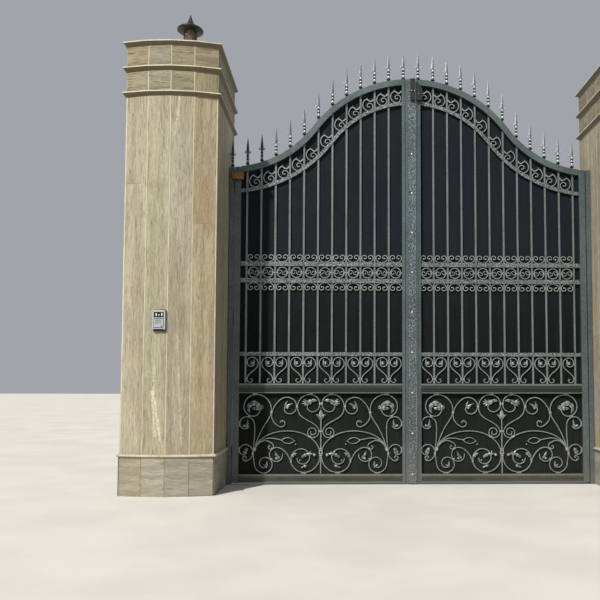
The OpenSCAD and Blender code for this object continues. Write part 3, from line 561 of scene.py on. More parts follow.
def volute(v):
    """A volute from rim to eye: middle, radius and angle at the rim, turn, radius at the eye, ease."""
    middle, rim, angle, turn, eye, ease = v
    count = math.ceil(abs(turn) / VOLUTE_STEP)
    line = []
    for i in range(count + 1):
        f = i / count * (1 - CROWDING + CROWDING * i / count)
        line.append(Vector(middle) + (eye + (rim - eye) * max(1 - f, 0) ** ease) * toward(angle + turn * f))
    return line


def way_in(v):
    middle, rim, angle, turn, eye, ease = v
    lean = math.degrees(math.atan(ease * (rim - eye) * 180 / math.pi / abs(turn) / rim))
    return Vector(middle) + rim * toward(angle), angle + math.copysign(90 + lean, turn)


def way_out(v):
    place, heading = way_in(v)
    return place, heading + 180


def bridge(a, b):
    """A smooth bar between two stations, each a place and a heading, without its last point."""
    gap = (b[0] - a[0]).length
    turn = abs((b[1] - a[1]) - 360 * round((b[1] - a[1]) / 360))
    pull = gap / (3 * math.cos(math.radians(turn / 4)) ** 2)
    q0 = a[0] + pull * toward(a[1])
    q1 = b[0] - pull * toward(b[1])
    count = max(2, math.ceil(1.1 * math.sqrt(gap)))
    line = []
    for i in range(count):
        f = i / count
        g = 1 - f
        line.append(g ** 3 * a[0] + 3 * f * g * g * q0 + 3 * f * f * g * q1 + f ** 3 * b[0])
    return line


def scroll_line(first, stations, last):
    """The centre line from the eye of one volute over stations to the eye of another; None for no volute."""
    stops = [(Vector(place), heading) for place, heading in stations]
    line = []
    if first:
        line = volute(first)[:0:-1]
        stops.insert(0, way_out(first))
    if last:
        stops.append(way_in(last))
    for a, b in zip(stops, stops[1:]):
        line += bridge(a, b)
    return line + (volute(last) if last else [stops[-1][0]])


def bend(start, heading, length, turn, steps=14):
    """A line of a length that starts at a place and heading and turns evenly."""
    line = [Vector(start)]
    for i in range(steps):
        line.append(line[-1] + length / steps * toward(heading + turn * (i + 0.5) / steps))
    return line


LEAF_ACROSS = (1.0, 0.72, 0.4, 0.12, 0.0, -0.12, -0.4, -0.72, -1.0)


def acanthus(shells, line, width, lobes, front, lift=7.0, thick=2.4, mark=0.3, blunt=0.75):
    """A hammered leaf: lobed edges, a raised rib, and a swell toward the street along its length."""
    last = len(line) - 1
    rings = []
    marks = []
    for i, (p, left) in enumerate(zip(line, sides(line))):
        f = i / last
        notch = (1 - abs(math.sin(math.pi * lobes * f))) ** 1.5 if lobes and 0 < i < last else 0.0
        half = width / 2 * math.sin(math.pi * (0.05 + 0.92 * f) ** blunt) * (1 - 0.38 * notch) + 0.6
        swell = lift * math.sin(math.pi * 0.95 * f ** 0.8)
        face = []
        for v in LEAF_ACROSS:
            rib = 1.5 if v == 0 else 0.0
            face.append((v, front - swell * (1 - 0.55 * v * v) - rib + 1.6 * notch * abs(v)))
        section = [(v, y + thick) for v, y in face] + face[::-1]
        rings.append([(p.x + left.x * half * v, y, p.y + left.y * half * v) for v, y in section])
        marks += [mark - 0.5 * notch - (0.25 if 0.05 < abs(v) < 0.5 else 0.0) for v in LEAF_ACROSS] * 2
    shells.add(*tube(rings), marks)


def moved(line, across, up, hand=1):
    """A line set down at a place in the leaf; hand -1 turns it over first."""
    return [Vector((across + hand * p.x, up + p.y)) for p in line]


SCROLL_T = 9.0
SCROLL_D = 12.0
PANEL_T = 11.0


def crest_scrolls():
    """One scroll in each cell between the arched rails. It leaves the bar as a wave, swings over to the
    other bar, stands on the inner rail and winds in. A thorn stands on the wave."""
    shells = Shells()
    rail = tree_of("right_inner_arch_rail")
    curl = [(CELL_W * 0.38, CELL_W * 0.42), CELL_W * 0.58, 48, -520, CELL_W * 0.09, 1.45]
    wave = [((0, CELL_W), -55), ((CELL_W * 0.27, CELL_W * 0.79), 5), ((CELL_W * 0.58, CELL_W * 0.96), 4)]
    winding = scroll_line(None, wave, curl)
    thorn = bend((CELL_W * 0.62, CELL_W * 0.95), 100, CELL_W * 0.2, 30, 6)
    for i in range(BAR_COUNT):
        foot = met(rail, (cell_x(i) + CELL_W / 2, FLAT_FRONT + 1, 5000), (0, 0, -1)).z + SCROLL_T / 4
        rod(shells, moved(winding, cell_x(i), foot), SCROLL_T, SCROLL_D, BAR_FRONT, mark=0.15,
            taper=lambda f: 1.45 - 0.5 * min(f * 2.6, 1.0))
        rod(shells, moved(thorn, cell_x(i), foot), SCROLL_T * 0.9, SCROLL_D - 4, BAR_FRONT + 2, mark=0.1,
            taper=lambda f: 1 - 0.75 * f)
        eye = winding[-1]
        spot = (cell_x(i) + eye.x, BAR_FRONT + 4, foot + eye.y)
        ball(shells, spot, 7, flat=0.8, mark=0.2, toward_street=True)
    return shells


def ring_band():
    """Rings with an S of two volutes, and C scrolls with ball tips above and below their rails."""
    shells = Shells()
    ring_r, pin_h, s_t, c_tall = 55, 10, 7, 79
    ring = [(ring_r - SCROLL_T / 2) * toward(a) for a in range(0, 360, 9)]
    s_rim = (ring_r - SCROLL_T + 1 - s_t / 2) / (2 - 0.7 * 180 / 380)
    half_s = volute([(s_rim, 0), s_rim, 180, -380, s_rim * 0.3, 1])
    double = half_s[::-1] + [-q for q in half_s[1:]]
    w = (CELL_W - SCROLL_T) / 2
    h = c_tall - SCROLL_T / 2
    half_c = scroll_line(None, [((0, 0), 0)], [(w * 0.5, h * 0.64), w * 0.5, 0, 290, w * 0.17, 1])
    whole_c = [Vector((-q.x, q.y)) for q in half_c[:0:-1]] + half_c
    for i in range(BAR_COUNT):
        x = cell_mid(i)
        rod(shells, moved(ring, x, RING_Z), SCROLL_T, SCROLL_D, BAR_FRONT, closed=True, mark=0.1)
        rod(shells, moved(double, x, RING_Z), s_t, SCROLL_D - 2, BAR_FRONT, mark=0.2)
        for hand in (-1, 1):
            block(shells, (x + hand * (CELL_W / 2 - 3), BAR_FRONT + 5, RING_Z), (8, 14, pin_h), mark=0.5)
        for up in (-1, 1):
            edge = RING_Z + up * BAND_HALF
            c_line = [Vector((x + q.x, edge + up * q.y)) for q in whole_c]
            rod(shells, c_line, SCROLL_T, SCROLL_D, BAR_FRONT, mark=0.1)
            for tip in (c_line[0], c_line[-1]):
                ball(shells, (tip.x, BAR_FRONT + 4, tip.y), 7.5, flat=0.9, mark=0.4, toward_street=True)
    return shells


def hearts():
    """Half a heart in each cell, turned over in every other one, with a claw of a leaf in its lobe."""
    shells = Shells()
    span = CELL_W - SCROLL_T
    lobe = [(CELL_W * 0.59, HEART_H * 0.75), span * 0.57, 195, -430, span * 0.17, 1]
    curl = [(CELL_W * 0.64, HEART_H * 0.13), span * 0.35, 20, -310, span * 0.08, 1.6]
    line = scroll_line(lobe, [], curl)
    fingers = ((118, 56, -35, 17), (75, 42, -45, 14), (40, 34, -50, 12), (150, 26, 0, 12))
    for i in range(BAR_COUNT):
        hand = 1 if i % 2 == 0 else -1
        x = cell_mid(i) - hand * CELL_W / 2
        rod(shells, moved(line, x, MIDDLE_TOP, hand), SCROLL_T, SCROLL_D, BAR_FRONT, mark=0.1)
        for heading, length, turn, width in fingers:
            finger = bend((CELL_W * 0.5, HEART_H * 0.69), heading, length, turn, 10)
            acanthus(shells, moved(finger, x, MIDDLE_TOP, hand), width, 0, BAR_FRONT, 6.0, 2.2, 0.3, 0.6)
        for up in (0.17, 0.75):
            spot = (x + hand * (CELL_W - 4), BAR_FRONT + 5, MIDDLE_TOP + HEART_H * up)
            block(shells, spot, (12, 14, 17), mark=0.5)
    return shells


# The panel is laid out on a half panel 790 by 775, from the stem in its middle to the stile, as in the
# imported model, and stretched to the real panel
LAYOUT = (790, 775)
PANEL_MID = (MEETING_IN + STILE_IN) / 2
STRETCH = ((STILE_IN - PANEL_MID) / LAYOUT[0], (PANEL_TOP - BOTTOM_TOP) / LAYOUT[1])

# Volutes of a half panel: middle, radius and angle at the rim, turn, radius at the eye, ease
HEART_TOP = [(95, 657), 138, -30, 470, 15, 1]
HEART_FOOT = [(80, 400), 63, 150, 600, 16, 1]
SIDE_HEART_TOP = [(315, 635), 112, 40, 370, 25, 1]
SIDE_HEART_FOOT = [(377, 488), 40, -60, -300, 14, 1]
CORNER_TOP = [(640, 630), 164, 190, -370, 46, 1]
SIDE_TOP = [(725, 477), 84, 180, -330, 35, 1]
SIDE_FOOT_UP = [(735, 215), 80, 180, -310, 24, 1]
SIDE_FOOT_DOWN = [(727, 152), 32, 240, 320, 8, 1]
ARCH_FOOT = [(541, 95), 99, 0, -540, 24, 1]
HOOK_TOP = [(489, 259), 38, 110, 330, 10, 1]
WAVE_TOP = [(426, 180), 73, 110, -300, 58, 1]
GREAT_FOOT = [(177, 150), 162, 195, 525, 52, 1.7]
TAILS_MEET = (641, 240)
# Bars of a half panel: the volute that each starts in, its stations, and the volute that ends it
PANEL_LINES = [
    (HEART_TOP, [], HEART_FOOT),
    (SIDE_HEART_TOP, [((476, 560), -90)], SIDE_HEART_FOOT),
    (CORNER_TOP, [((560, 440), -62), (TAILS_MEET, -75)], None),
    (SIDE_TOP, [((650, 235), -86)], None),
    (SIDE_FOOT_UP, [], SIDE_FOOT_DOWN),
    (ARCH_FOOT, [((650, 180), 90), ((320, 411), 180), ((8, 216), -105)], None),
    (None, [(TAILS_MEET, 112), ((513, 340), 172), ((385, 325), 192)], None),
    (HOOK_TOP, [((533, 318), 0), ((643, 225), -67)], None),
    (WAVE_TOP, [((285, 105), -108)], None),
    (None, [((7, 190), -90)], GREAT_FOOT),
]

# Leaves of a half panel: where each starts, its heading, length, turn, width and lobes
PANEL_LEAVES = [
    ((0, 515), 85, 78, -75, 24, 0),
    ((128, 668), 118, 112, 88, 36, 2),
    ((592, 636), 78, 205, -215, 48, 4), ((592, 632), -6, 76, 8, 36, 2),
    ((738, 186), 108, 72, 14, 40, 2),
    ((232, 196), -15, 100, -80, 28, 3), ((132, 184), -12, 66, -40, 30, 2), ((132, 80), -24, 68, 6, 24, 2),
    ((150, 184), 172, 92, 6, 22, 1),
]

# Claws of a half panel: where each starts, then heading, length, turn and width of its fingers
PANEL_CLAWS = [
    ((132, 678), ((62, 56, -25, 16), (28, 58, -10, 16), (-8, 54, 10, 15), (-48, 44, 20, 14),
                  (100, 40, 0, 12))),
    ((342, 632), ((80, 70, 48, 18), (128, 84, 40, 18), (165, 44, -20, 14))),
    ((598, 636), ((138, 46, 15, 15), (170, 48, 0, 15), (200, 46, -10, 14), (232, 42, 0, 13))),
    ((722, 446), ((120, 82, -40, 18), (92, 50, 30, 14), (60, 42, -40, 12))),
    ((408, 140), ((88, 62, -75, 17), (78, 82, -30, 17), (118, 30, 0, 12))),
    ((528, 58), ((112, 66, -30, 20), (62, 42, -20, 16), (92, 34, 0, 12))),
    ((112, 186), ((125, 40, -20, 13), (55, 52, -10, 14))),
    ((728, 120), ((70, 34, 40, 11),)),
]

# Balls and drops of a half panel: middle and radius
PANEL_BALLS = [
    ((325, 632), 13), ((742, 462), 13), ((428, 146), 14), ((202, 127), 9), ((62, 180), 17), ((242, 282), 8),
    ((98, 360), 8), ((370, 497), 6), ((489, 259), 5), ((379, 322), 8), ((258, 312), 6),
]

# Blocks that hold the half's bars to each other and to the stem: middle, width, height and slant
PANEL_BLOCKS = [
    ((6, 675), 26, 30, 0), ((6, 408), 30, 18, 0), ((4, 208), 30, 26, 0), ((232, 648), 22, 24, 0),
    ((478, 590), 24, 18, 0), ((690, 556), 22, 14, 0), ((655, 192), 18, 30, 0), ((112, 356), 26, 16, 30),
    ((287, 118), 16, 26, 0), ((470, 240), 18, 18, 0), ((473, 140), 18, 18, 0), ((638, 235), 26, 34, 15),
]

# Pads between the rounds and the frame: where each lies, its place along that edge and half its length
PANEL_PADS = [("top", 98, 20), ("top", 640, 24), ("foot", 165, 24), ("foot", 548, 24),
              ("side", 480, 26), ("side", 228, 26)]


# The stem's top, and its collars: height over the bottom rail, width and height
STEM_TOP = 522
COLLARS = [(675, 34, 10), (408, 38, 12), (240, 26, 10), (222, 32, 12), (192, 40, 14), (172, 30, 10)]


def on_panel(line, hand):
    return [Vector((PANEL_MID + hand * p[0] * STRETCH[0], BOTTOM_TOP + p[1] * STRETCH[1])) for p in line]


def panel_pads(shells, hand):
    """Low pads on the inner edges of the frame that hold the rounds of the scrolls."""
    thick = 9
    for edge, along, half in PANEL_PADS:
        if edge == "side":
            middle = on_panel([(LAYOUT[0] - thick / 2, along)], hand)[0]
            size = (thick, SCROLL_D + 2, 2 * half)
        else:
            up = LAYOUT[1] - thick / 2 if edge == "top" else thick / 2
            middle = on_panel([(along, up)], hand)[0]
            size = (2 * half, SCROLL_D + 2, thick)
        block(shells, (middle.x, BAR_FRONT + 5, middle.y), size, mark=0.4)


def panel_scrolls():
    """The scroll panel: its stem with collars, the bars of both halves, blocks and pads."""
    shells = Shells()
    stem = [Vector((PANEL_MID, BOTTOM_TOP + up)) for up in (0, 200, 400, STEM_TOP)]
    rod(shells, stem, PANEL_T, SCROLL_D, BAR_FRONT, mark=0.1)
    for hand in (-1, 1):
        for first, stations, last in PANEL_LINES:
            line = on_panel(scroll_line(first, stations, last), hand)
            rod(shells, line, PANEL_T, SCROLL_D, BAR_FRONT, edge=3.0, mark=0.12)
        for middle, w, h, slant in PANEL_BLOCKS:
            place = on_panel([middle], hand)[0]
            block(shells, (place.x, BAR_FRONT + 4, place.y), (w, SCROLL_D + 4, h), hand * slant, 0.5, 2.5)
        panel_pads(shells, hand)
    for up, w, h in COLLARS:
        block(shells, (PANEL_MID, BAR_FRONT + 3, BOTTOM_TOP + up), (w, SCROLL_D + 6, h), 0, 0.55, 3)
    return shells


def panel_leaves():
    """Hammered leaves, claws, buds and drops on the panel's scrolls."""
    shells = Shells()
    bud = on_panel(bend((0, 515), 90, 112, 0, 16), 1)
    acanthus(shells, bud, 40, 1, BAR_FRONT + 1, 8, mark=0.4)
    ball(shells, (PANEL_MID, BAR_FRONT + 4, BOTTOM_TOP + 632), 5, mark=0.4)
    for hand in (-1, 1):
        for start, heading, length, turn, width, lobes in PANEL_LEAVES:
            line = on_panel(bend(start, heading, length, turn, 18), hand)
            acanthus(shells, line, width, lobes, BAR_FRONT + 2, 7, mark=0.15)
        for start, fingers in PANEL_CLAWS:
            for heading, length, turn, width in fingers:
                line = on_panel(bend(start, heading, length, turn, 10), hand)
                acanthus(shells, line, width, 0, BAR_FRONT + 2, 5, 2.2, 0.15, 0.6)
        for middle, radius in PANEL_BALLS:
            place = on_panel([middle], hand)[0]
            ball(shells, (place.x, BAR_FRONT + 4, place.y), radius, flat=0.8, mark=0.2, toward_street=True)
        for lean in (-50, 50):
            edge = bend((377, 322), 184 + lean, 138, -2 * lean, 14)
            edge += bend(edge[-1], 184, 20, 0, 2)[1:]
            rod(shells, on_panel(edge, hand), 8, 9, BAR_FRONT + 1, mark=0.1, taper=lambda f: 1 - 0.4 * f)
    return shells


# Finials, beads and bolts

# Each step of the turned stem: radius, height, and its mark of how worn it is, with painted highlight on the
# bulbs. Rings are nearly black, bulbs bright.
STEM = [
    (9, 0, -0.8), (9, 8, -0.8), (17, 14, -1), (19, 16, -1), (19, 23, -1), (16, 26, -1), (9, 29, -0.5),
    (10.5, 33, 0.6), (12, 38, 0.8), (12, 47, 0.8), (10.5, 52, 0.6), (9, 56, -0.8),
    (14, 59, -1), (15, 61, -1), (15, 65, -1), (13, 68, -1), (9, 71, -0.5),
    (11, 73, 0.6), (12, 76, 0.8), (11, 82, 0.8), (9, 86, -0.8),
    (14, 89, -1), (15, 91, -1), (15, 95, -1), (13, 98, -1), (9, 101, -0.5),
    (11.5, 106, 0.6), (12, 110, 0.7), (11, 116, 0.6), (9, 122, 0), (6, 131, 0),
]
FINIAL_H = 284
BLADE_FOOT = 116
BLADE_W = 31.0
BLADE_T = 16.0
# Half outline of the blade as shares of its width and of its height
BLADE_EDGE = [(0.22, 0), (0.34, 0.04), (0.44, 0.09), (0.5, 0.15), (0.48, 0.23), (0.43, 0.33), (0.35, 0.48),
              (0.26, 0.64), (0.15, 0.82), (0.03, 1)]
WING_T = 8.5
WING_BALL = 7.5
WING_TIP = (25, 134)


def finial(shells, x, y, z, painted_shadow=0.0):
    """A spear: turned stem, two curled wings with balls, and a ridged and fluted blade."""
    # The painted shadow is taken off every mark, darkening the whole spear as if it stood in shade.
    lathe(shells, [(r, h, mark - painted_shadow) for r, h, mark in STEM], (x, y, z), 20)
    rings = []
    for share, rise in BLADE_EDGE:
        w = share * BLADE_W
        t = share * BLADE_T
        up = z + BLADE_FOOT + rise * (FINIAL_H - BLADE_FOOT)
        outline = ((w, 0), (w * 0.45, -t * 0.4), (0, -t), (-w * 0.45, -t * 0.4),
                   (-w, 0), (-w * 0.45, t * 0.4), (0, t), (w * 0.45, t * 0.4))
        rings.append([(x + a, y + b, up) for a, b in outline])
    shells.add(*tube(rings), 0.1 - painted_shadow)
    for hand in (-1, 1):
        wing = scroll_line(None, [((0, 121), 0), (WING_TIP, 65)], None)
        rod(shells, moved(wing, x, z, hand), WING_T, WING_T, y - WING_T / 2, edge=1.8, mark=0.5 - painted_shadow)
        ball(shells, (x + hand * WING_TIP[0], y, z + WING_TIP[1] + 2), WING_BALL, mark=0.75 - painted_shadow)


def leaf_finials(side):
    """A finial over each bar and one over the meeting stile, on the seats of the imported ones."""
    shells = Shells()
    packed = tree_of("right_finials")
    for i in range(BAR_COUNT + 1):
        x = MEETING_IN - BAR_S if i == 0 else bar_x(i - 1)
        seat = met(packed, (x, GATE_Y, MIDDLE_TOP), (0, 0, 1)).z
        # Painted shadow on the two spears nearest the left post, which stand in the pillar's shade.
        shade = 0.55 if side == "left" and i > BAR_COUNT - 2 else 0.0
        finial(shells, x, GATE_Y, seat, shade)
    return shells


def post_finial():
    shells = Shells()
    low, high = reach("left_post_finial")
    # Painted shadow: this spear stands in the pillar's shade.
    finial(shells, (low.x + high.x) / 2, (low.y + high.y) / 2, low.z, 0.5)
    return shells


def weld_beads():
    """Welds at the feet of the bars, and knobs where the lobes of the hearts touch them."""
    shells = Shells()
    for i in range(BAR_COUNT):
        x = bar_x(i)
        for up, radius in ((0, 11), (HEART_H * 0.5, 8)):
            spot = (x, BAR_FRONT + 3, MIDDLE_TOP + up + radius * 0.3)
            ball(shells, spot, radius, flat=0.7, mark=0.4, toward_street=True)
    return shells


STRIP_BOLTS = 9
STRIP_BOLT_FIRST = 97
STRIP_BOLT_PITCH = 393


def strip_bolts():
    """Domed bolt heads on washers, evenly spaced on the cover strip."""
    shells = Shells()
    low, high = reach("cover_strip")
    x = (low.x + high.x) / 2 - 2
    dome = [(13, 0, -0.6), (13, 3, -0.6), (9.5, 3.2, 1), (9, 6, 1), (7, 8.5, 1), (3, 10, 1)]
    for i in range(STRIP_BOLTS):
        place = (x, low.y + 1, STRIP_BOLT_FIRST + i * STRIP_BOLT_PITCH)
        lathe(shells, dome, place, 16, toward_street=True)
    return shells


def screw(shells, place, radius, mark):
    """A small domed head toward the street, its tip a little brighter."""
    head = [(radius, 0), (radius * 0.9, radius * 0.5), (radius * 0.45, radius * 0.8, mark + 0.1)]
    lathe(shells, head, place, 12, mark, toward_street=True)


def keeper_screws():
    """Screws of the latch keeper, and the bright ones of its strap."""
    shells = Shells()
    low, high = reach("latch_keeper")
    strap_z = low.z + 92
    for x in (low.x + 9, high.x - 9):
        screw(shells, (x, low.y + 0.5, strap_z), 5, 0.8)
        for z in (low.z + 12, high.z - 12):
            screw(shells, (x, low.y + 3.5, z), 4.5, 0.3)
    return shells


def box_screws():
    """Keyhole cover and screws of the latch box."""
    shells = Shells()
    low, high = reach("latch_box")
    x = (low.x + high.x) / 2
    cover = [(13, 0, 0), (13, 2, 0), (11, 3.4, 0.2), (5, 3.4, 0.2), (4.6, 1.6, -1)]
    lathe(shells, cover, (x, low.y + 0.5, low.z + 62), 20, toward_street=True)
    for z in (low.z + 12, low.z + 104):
        for hand in (-1, 1):
            screw(shells, (x + hand * 19, low.y + 0.5, z), 4, 0.3)
    return shells


def make_ironwork():
    for side, sign in SIDES.items():
        body = f"{side}_leaf"
        for title, shells, skin in (("crest", crest_scrolls(), "scroll_iron"),
                                    ("ring", ring_band(), "scroll_iron"),
                                    ("heart", hearts(), "panel_iron"),
                                    ("panel", panel_scrolls(), "panel_iron")):
            name = f"{side}_{title}_ironwork"
            shells.piece(name, body, "scroll_iron", skin, sign, [f"{side}_{title}_scrolls"])
        leaves = panel_leaves()
        leaves.piece(f"{side}_panel_leaves", body, "scroll_iron", "panel_iron", sign, smooth_under=50)
        spears = leaf_finials(side)
        spears.piece(f"{side}_spears", body, "finial_iron", "finial_iron", sign, [f"{side}_finials"])
        weld_beads().piece(f"{side}_weld_beads", body, "bar_iron", "bar_iron", sign)
    post_finial().piece("left_post_spear", "posts", "finial_iron", "finial_iron", 1, ["left_post_finial"])
    strip_bolts().piece("cover_strip_bolts", "left_leaf", "hammered_iron", "frame_iron")
    keeper_screws().piece("latch_keeper_screws", "left_leaf", "latch_iron", "latch_iron")
    box_screws().piece("latch_box_screws", "right_leaf", "latch_iron", "latch_iron")


make_ironwork()


# Stone slabs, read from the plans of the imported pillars

COLUMNS = 4
SLAB_DEEP = 12.0
SLAB_EDGE = 0.0016
CORNER_JOINT = 10.0
LEVEL_GAP = 0.7
SHAFT_JOINT, SHAFT_PROUD = 7.0, 2.0
PLINTH_JOINT, PLINTH_PROUD = 3.0, 1.2
TILE_GAP, TILE_CORNER_GAP, TILE_PROUD = 3.5, 2.0, 2.0
# Tints of the four columns on the front of the left pillar, from its outer edge to its inner one
FRONT_TINTS = [(1.03, 1.03, 1.02), (0.99, 1.02, 0.95), (0.96, 0.97, 0.97), (1.02, 0.94, 0.83)]
UPPER_SHADE = 0.97
# Heights at which a column is cut, from its foot, on the front of the left pillar
FRONT_CUTS = [(2728,), (1010,), (), (2374,)]
# Elsewhere: the share of columns that aren't cut, and the range of the heights of the cuts
UNCUT = 0.35
CUT_RANGE = (900, 2900)
# Tints of the crown tiles on the front of the left pillar, a row for each course
TILE_TINTS = [
    ((1.0, 0.99, 0.90), (0.98, 1.0, 0.95), (1.0, 1.02, 0.92), (0.98, 0.94, 0.80)),
    ((1.05, 0.95, 0.82), (0.97, 0.97, 0.96), (0.98, 0.97, 0.88), (0.98, 0.94, 0.88)),
]


def plan_of(node):
    """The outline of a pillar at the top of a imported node, anticlockwise from above, in millimetres."""
    mesh = NODES[node].data
    top = max(v.co.z for v in mesh.vertices)
    spots = {(round(v.co.x / MM, 1), round(v.co.y / MM, 1)) for v in mesh.vertices if top - v.co.z < 0.0001}
    middle = sum((Vector(s) for s in spots), Vector((0, 0))) / len(spots)
    ring = sorted((Vector(s) for s in spots), key=lambda s: math.atan2(s.y - middle.y, s.x - middle.x))
    keep = []
    for i, spot in enumerate(ring):
        before, after = spot - ring[i - 1], ring[(i + 1) % len(ring)] - spot
        if abs(before.normalized().cross(after.normalized())) > 0.001:
            keep.append(spot)
    return keep


def wall_runs(node):
    """Stretches of wall one slab wide: start, end, face, and its column counted from low X or low Y."""
    low, high = reach(node)
    plan = plan_of(node)
    runs = []
    for i, start in enumerate(plan):
        across = plan[(i + 1) % len(plan)] - start
        if abs(across.x) > 1:
            column = int((start.x + across.x / 2 - low.x) / (high.x - low.x) * COLUMNS)
            runs.append((start, start + across, "front" if across.x > 0 else "back", column))
            continue
        for k in range(COLUMNS):
            a, b = start + across * (k / COLUMNS), start + across * ((k + 1) / COLUMNS)
            runs.append((a, b, "side", k if across.y > 0 else COLUMNS - 1 - k))
    return runs


def bevel(obj, width):
    made = obj.modifiers.new("edge", "BEVEL")
    made.width = width
    made.segments = 2
    made.limit_method = "ANGLE"
    made.angle_limit = math.radians(35)
    made.use_clamp_overlap = True


class Slabs(Shells):
    """Stone slabs as closed boxes on a wall, each with a seed for its pattern and a tint."""

    MARK = "slab"

    def __init__(self):
        super().__init__()
        self.tints = []

    def lay(self, a, b, levels, proud, gaps, tint):
        """A slab on the wall from a to b, between two levels, with a gap at each end."""
        run = (b - a).normalized()
        out = Vector((run.y, -run.x))
        start, end = a + run * gaps[0], b - run * gaps[1]
        outline = [start + out * proud, start - out * SLAB_DEEP, end - out * SLAB_DEEP, end + out * proud]
        points, faces = tube([[(p.x, p.y, z) for p in outline] for z in levels])
        self.add(points, faces, random.random())
        self.tints += [tint] * len(points)

    def piece(self, name, slot, material):
        mesh = self.mesh(name, material)
        tint = mesh.attributes.new("tint", "FLOAT_VECTOR", "POINT")
        tint.data.foreach_set("vector", [c for t in self.tints for c in t])
        mesh.update()
        obj = put(name, mesh)
        bevel(obj, SLAB_EDGE)
        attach(obj, "posts")


def random_tint():
    shade = random.uniform(0.90, 1.05)
    warm = random.uniform(-0.04, 0.05)
    return (shade * (1 + warm), shade, shade * (1 - 1.8 * warm))


def seen_front(side, face):
    """Whether this is the front of the left pillar, whose stones the photograph shows."""
    return side == "left" and face == "front"


def corner_gaps(a, b, face, column, gap, at_corner):
    """Gaps at both ends of a slab. Front and back slabs stop short of the corners, side slabs don't."""
    rising = b.x > a.x if face != "side" else b.y > a.y
    at_start = column == (0 if rising else COLUMNS - 1)
    at_end = column == (COLUMNS - 1 if rising else 0)
    corner = 0.0 if face == "side" else at_corner
    return (corner if at_start else gap), (corner if at_end else gap)


def clad(node, cuts_of, tint_of, joint, proud):
    """Slabs on every wall of a packed block, from its foot to its top, in one collection."""
    slabs = Slabs()
    low, high = reach(node)
    for a, b, face, column in wall_runs(node):
        gaps = corner_gaps(a, b, face, column, joint / 2, CORNER_JOINT)
        levels = [low.z] + list(cuts_of(face, column)) + [high.z]
        for k, (z0, z1) in enumerate(zip(levels, levels[1:])):
            foot = z0 + (LEVEL_GAP if k else 0)
            slabs.lay(a, b, (foot, z1 - LEVEL_GAP), proud, gaps, tint_of(face, column, k))
    return slabs


def make_shafts():
    for side in SIDES:
        def cuts(face, column):
            if seen_front(side, face):
                return FRONT_CUTS[column]
            return () if random.random() < UNCUT else (random.randrange(*CUT_RANGE),)

        def tint(face, column, k):
            if seen_front(side, face):
                return tuple(c * (UPPER_SHADE if k else 1.0) for c in FRONT_TINTS[column])
            return random_tint()

        slabs = clad(f"{side}_shaft", cuts, tint, SHAFT_JOINT, SHAFT_PROUD)
        slabs.piece(f"{side}_shaft_slabs", "shaft_stone", "travertine_upright")


def make_plinths():
    for side in SIDES:
        slabs = clad(f"{side}_plinth", lambda face, column: (), lambda face, column, k: random_tint(),
                     PLINTH_JOINT, PLINTH_PROUD)
        slabs.piece(f"{side}_plinth_slabs", "plinth_stone", "plinth_stone")


def courses(node):
    """Foot and top of each course of tiles on a packed crown, between the ledges.

    A ledge has three levels: the foot of its slope, the foot of its lip and its top.
    """
    levels = sorted({round(v.co.z / MM) for v in NODES[node].data.vertices})
    return zip(levels[2::3], levels[3::3])


def make_crowns():
    """Two courses of tiles between the ledges. One tile, as in the photograph, has its veins upright."""
    for side in SIDES:
        level, upright = Slabs(), Slabs()
        for course, levels in enumerate(courses(f"{side}_crown")):
            for a, b, face, column in wall_runs(f"{side}_shaft"):
                turned = course == 0 and face == "front" and column == COLUMNS - 1
                gaps = corner_gaps(a, b, face, column, TILE_GAP, TILE_CORNER_GAP)
                tint = random_tint()
                if seen_front(side, face):
                    tint = TILE_TINTS[course][column]
                (upright if turned else level).lay(a, b, levels, TILE_PROUD, gaps, tint)
        level.piece(f"{side}_crown_tiles", "shaft_stone", "travertine_level")
        upright.piece(f"{side}_crown_tile_upright", "shaft_stone", "travertine_tile")


make_shafts()
make_plinths()
make_crowns()


# Lamp, call box and amber box

# Steps of the lamp from its foot up: the radius as a share of the hat's, and the height, in millimetres
# for the foot and as a share of the whole height for the rest. Those of a cage bar have real radii.
LAMP_FOOT = [(0.63, 0), (0.63, 8), (0.60, 13), (0.48, 20), (0.40, 32)]
LAMP_NECK = [(0.37, 0.12), (0.41, 0.13), (0.41, 0.15), (0.37, 0.16), (0.37, 0.27), (0.44, 0.31),
             (0.50, 0.325), (0.50, 0.345), (0.44, 0.355)]
LAMP_GLASS = [(0.41, 0.345), (0.45, 0.36), (0.455, 0.5), (0.46, 0.655), (0.40, 0.668)]
LAMP_HAT = [(0.44, 0.655), (0.56, 0.668), (0.80, 0.682), (0.96, 0.688), (1.0, 0.695), (1.0, 0.706),
            (0.93, 0.722), (0.72, 0.745), (0.52, 0.768), (0.40, 0.79), (0.31, 0.82), (0.24, 0.85),
            (0.18, 0.885), (0.12, 0.925), (0.07, 0.96), (0.015, 1)]
CAGE_BAR = [(4, 0.34), (4.6, 0.42), (4, 0.5), (4.6, 0.58), (4, 0.665)]
# How many bars the cage has, and how far out they stand, as a share of the hat's radius
CAGE_BARS = 8
CAGE_OUT = 0.49
# A ring of the cage: radii as before, and heights in millimetres about its middle
CAGE_RING = [(0.47, -4), (0.51, -3), (0.51, 3), (0.47, 4)]
CAGE_RINGS_AT = (0.42, 0.58)


def scaled(profile, across, up, foot=0):
    return [(r * across, foot + rise * up) for r, rise in profile]


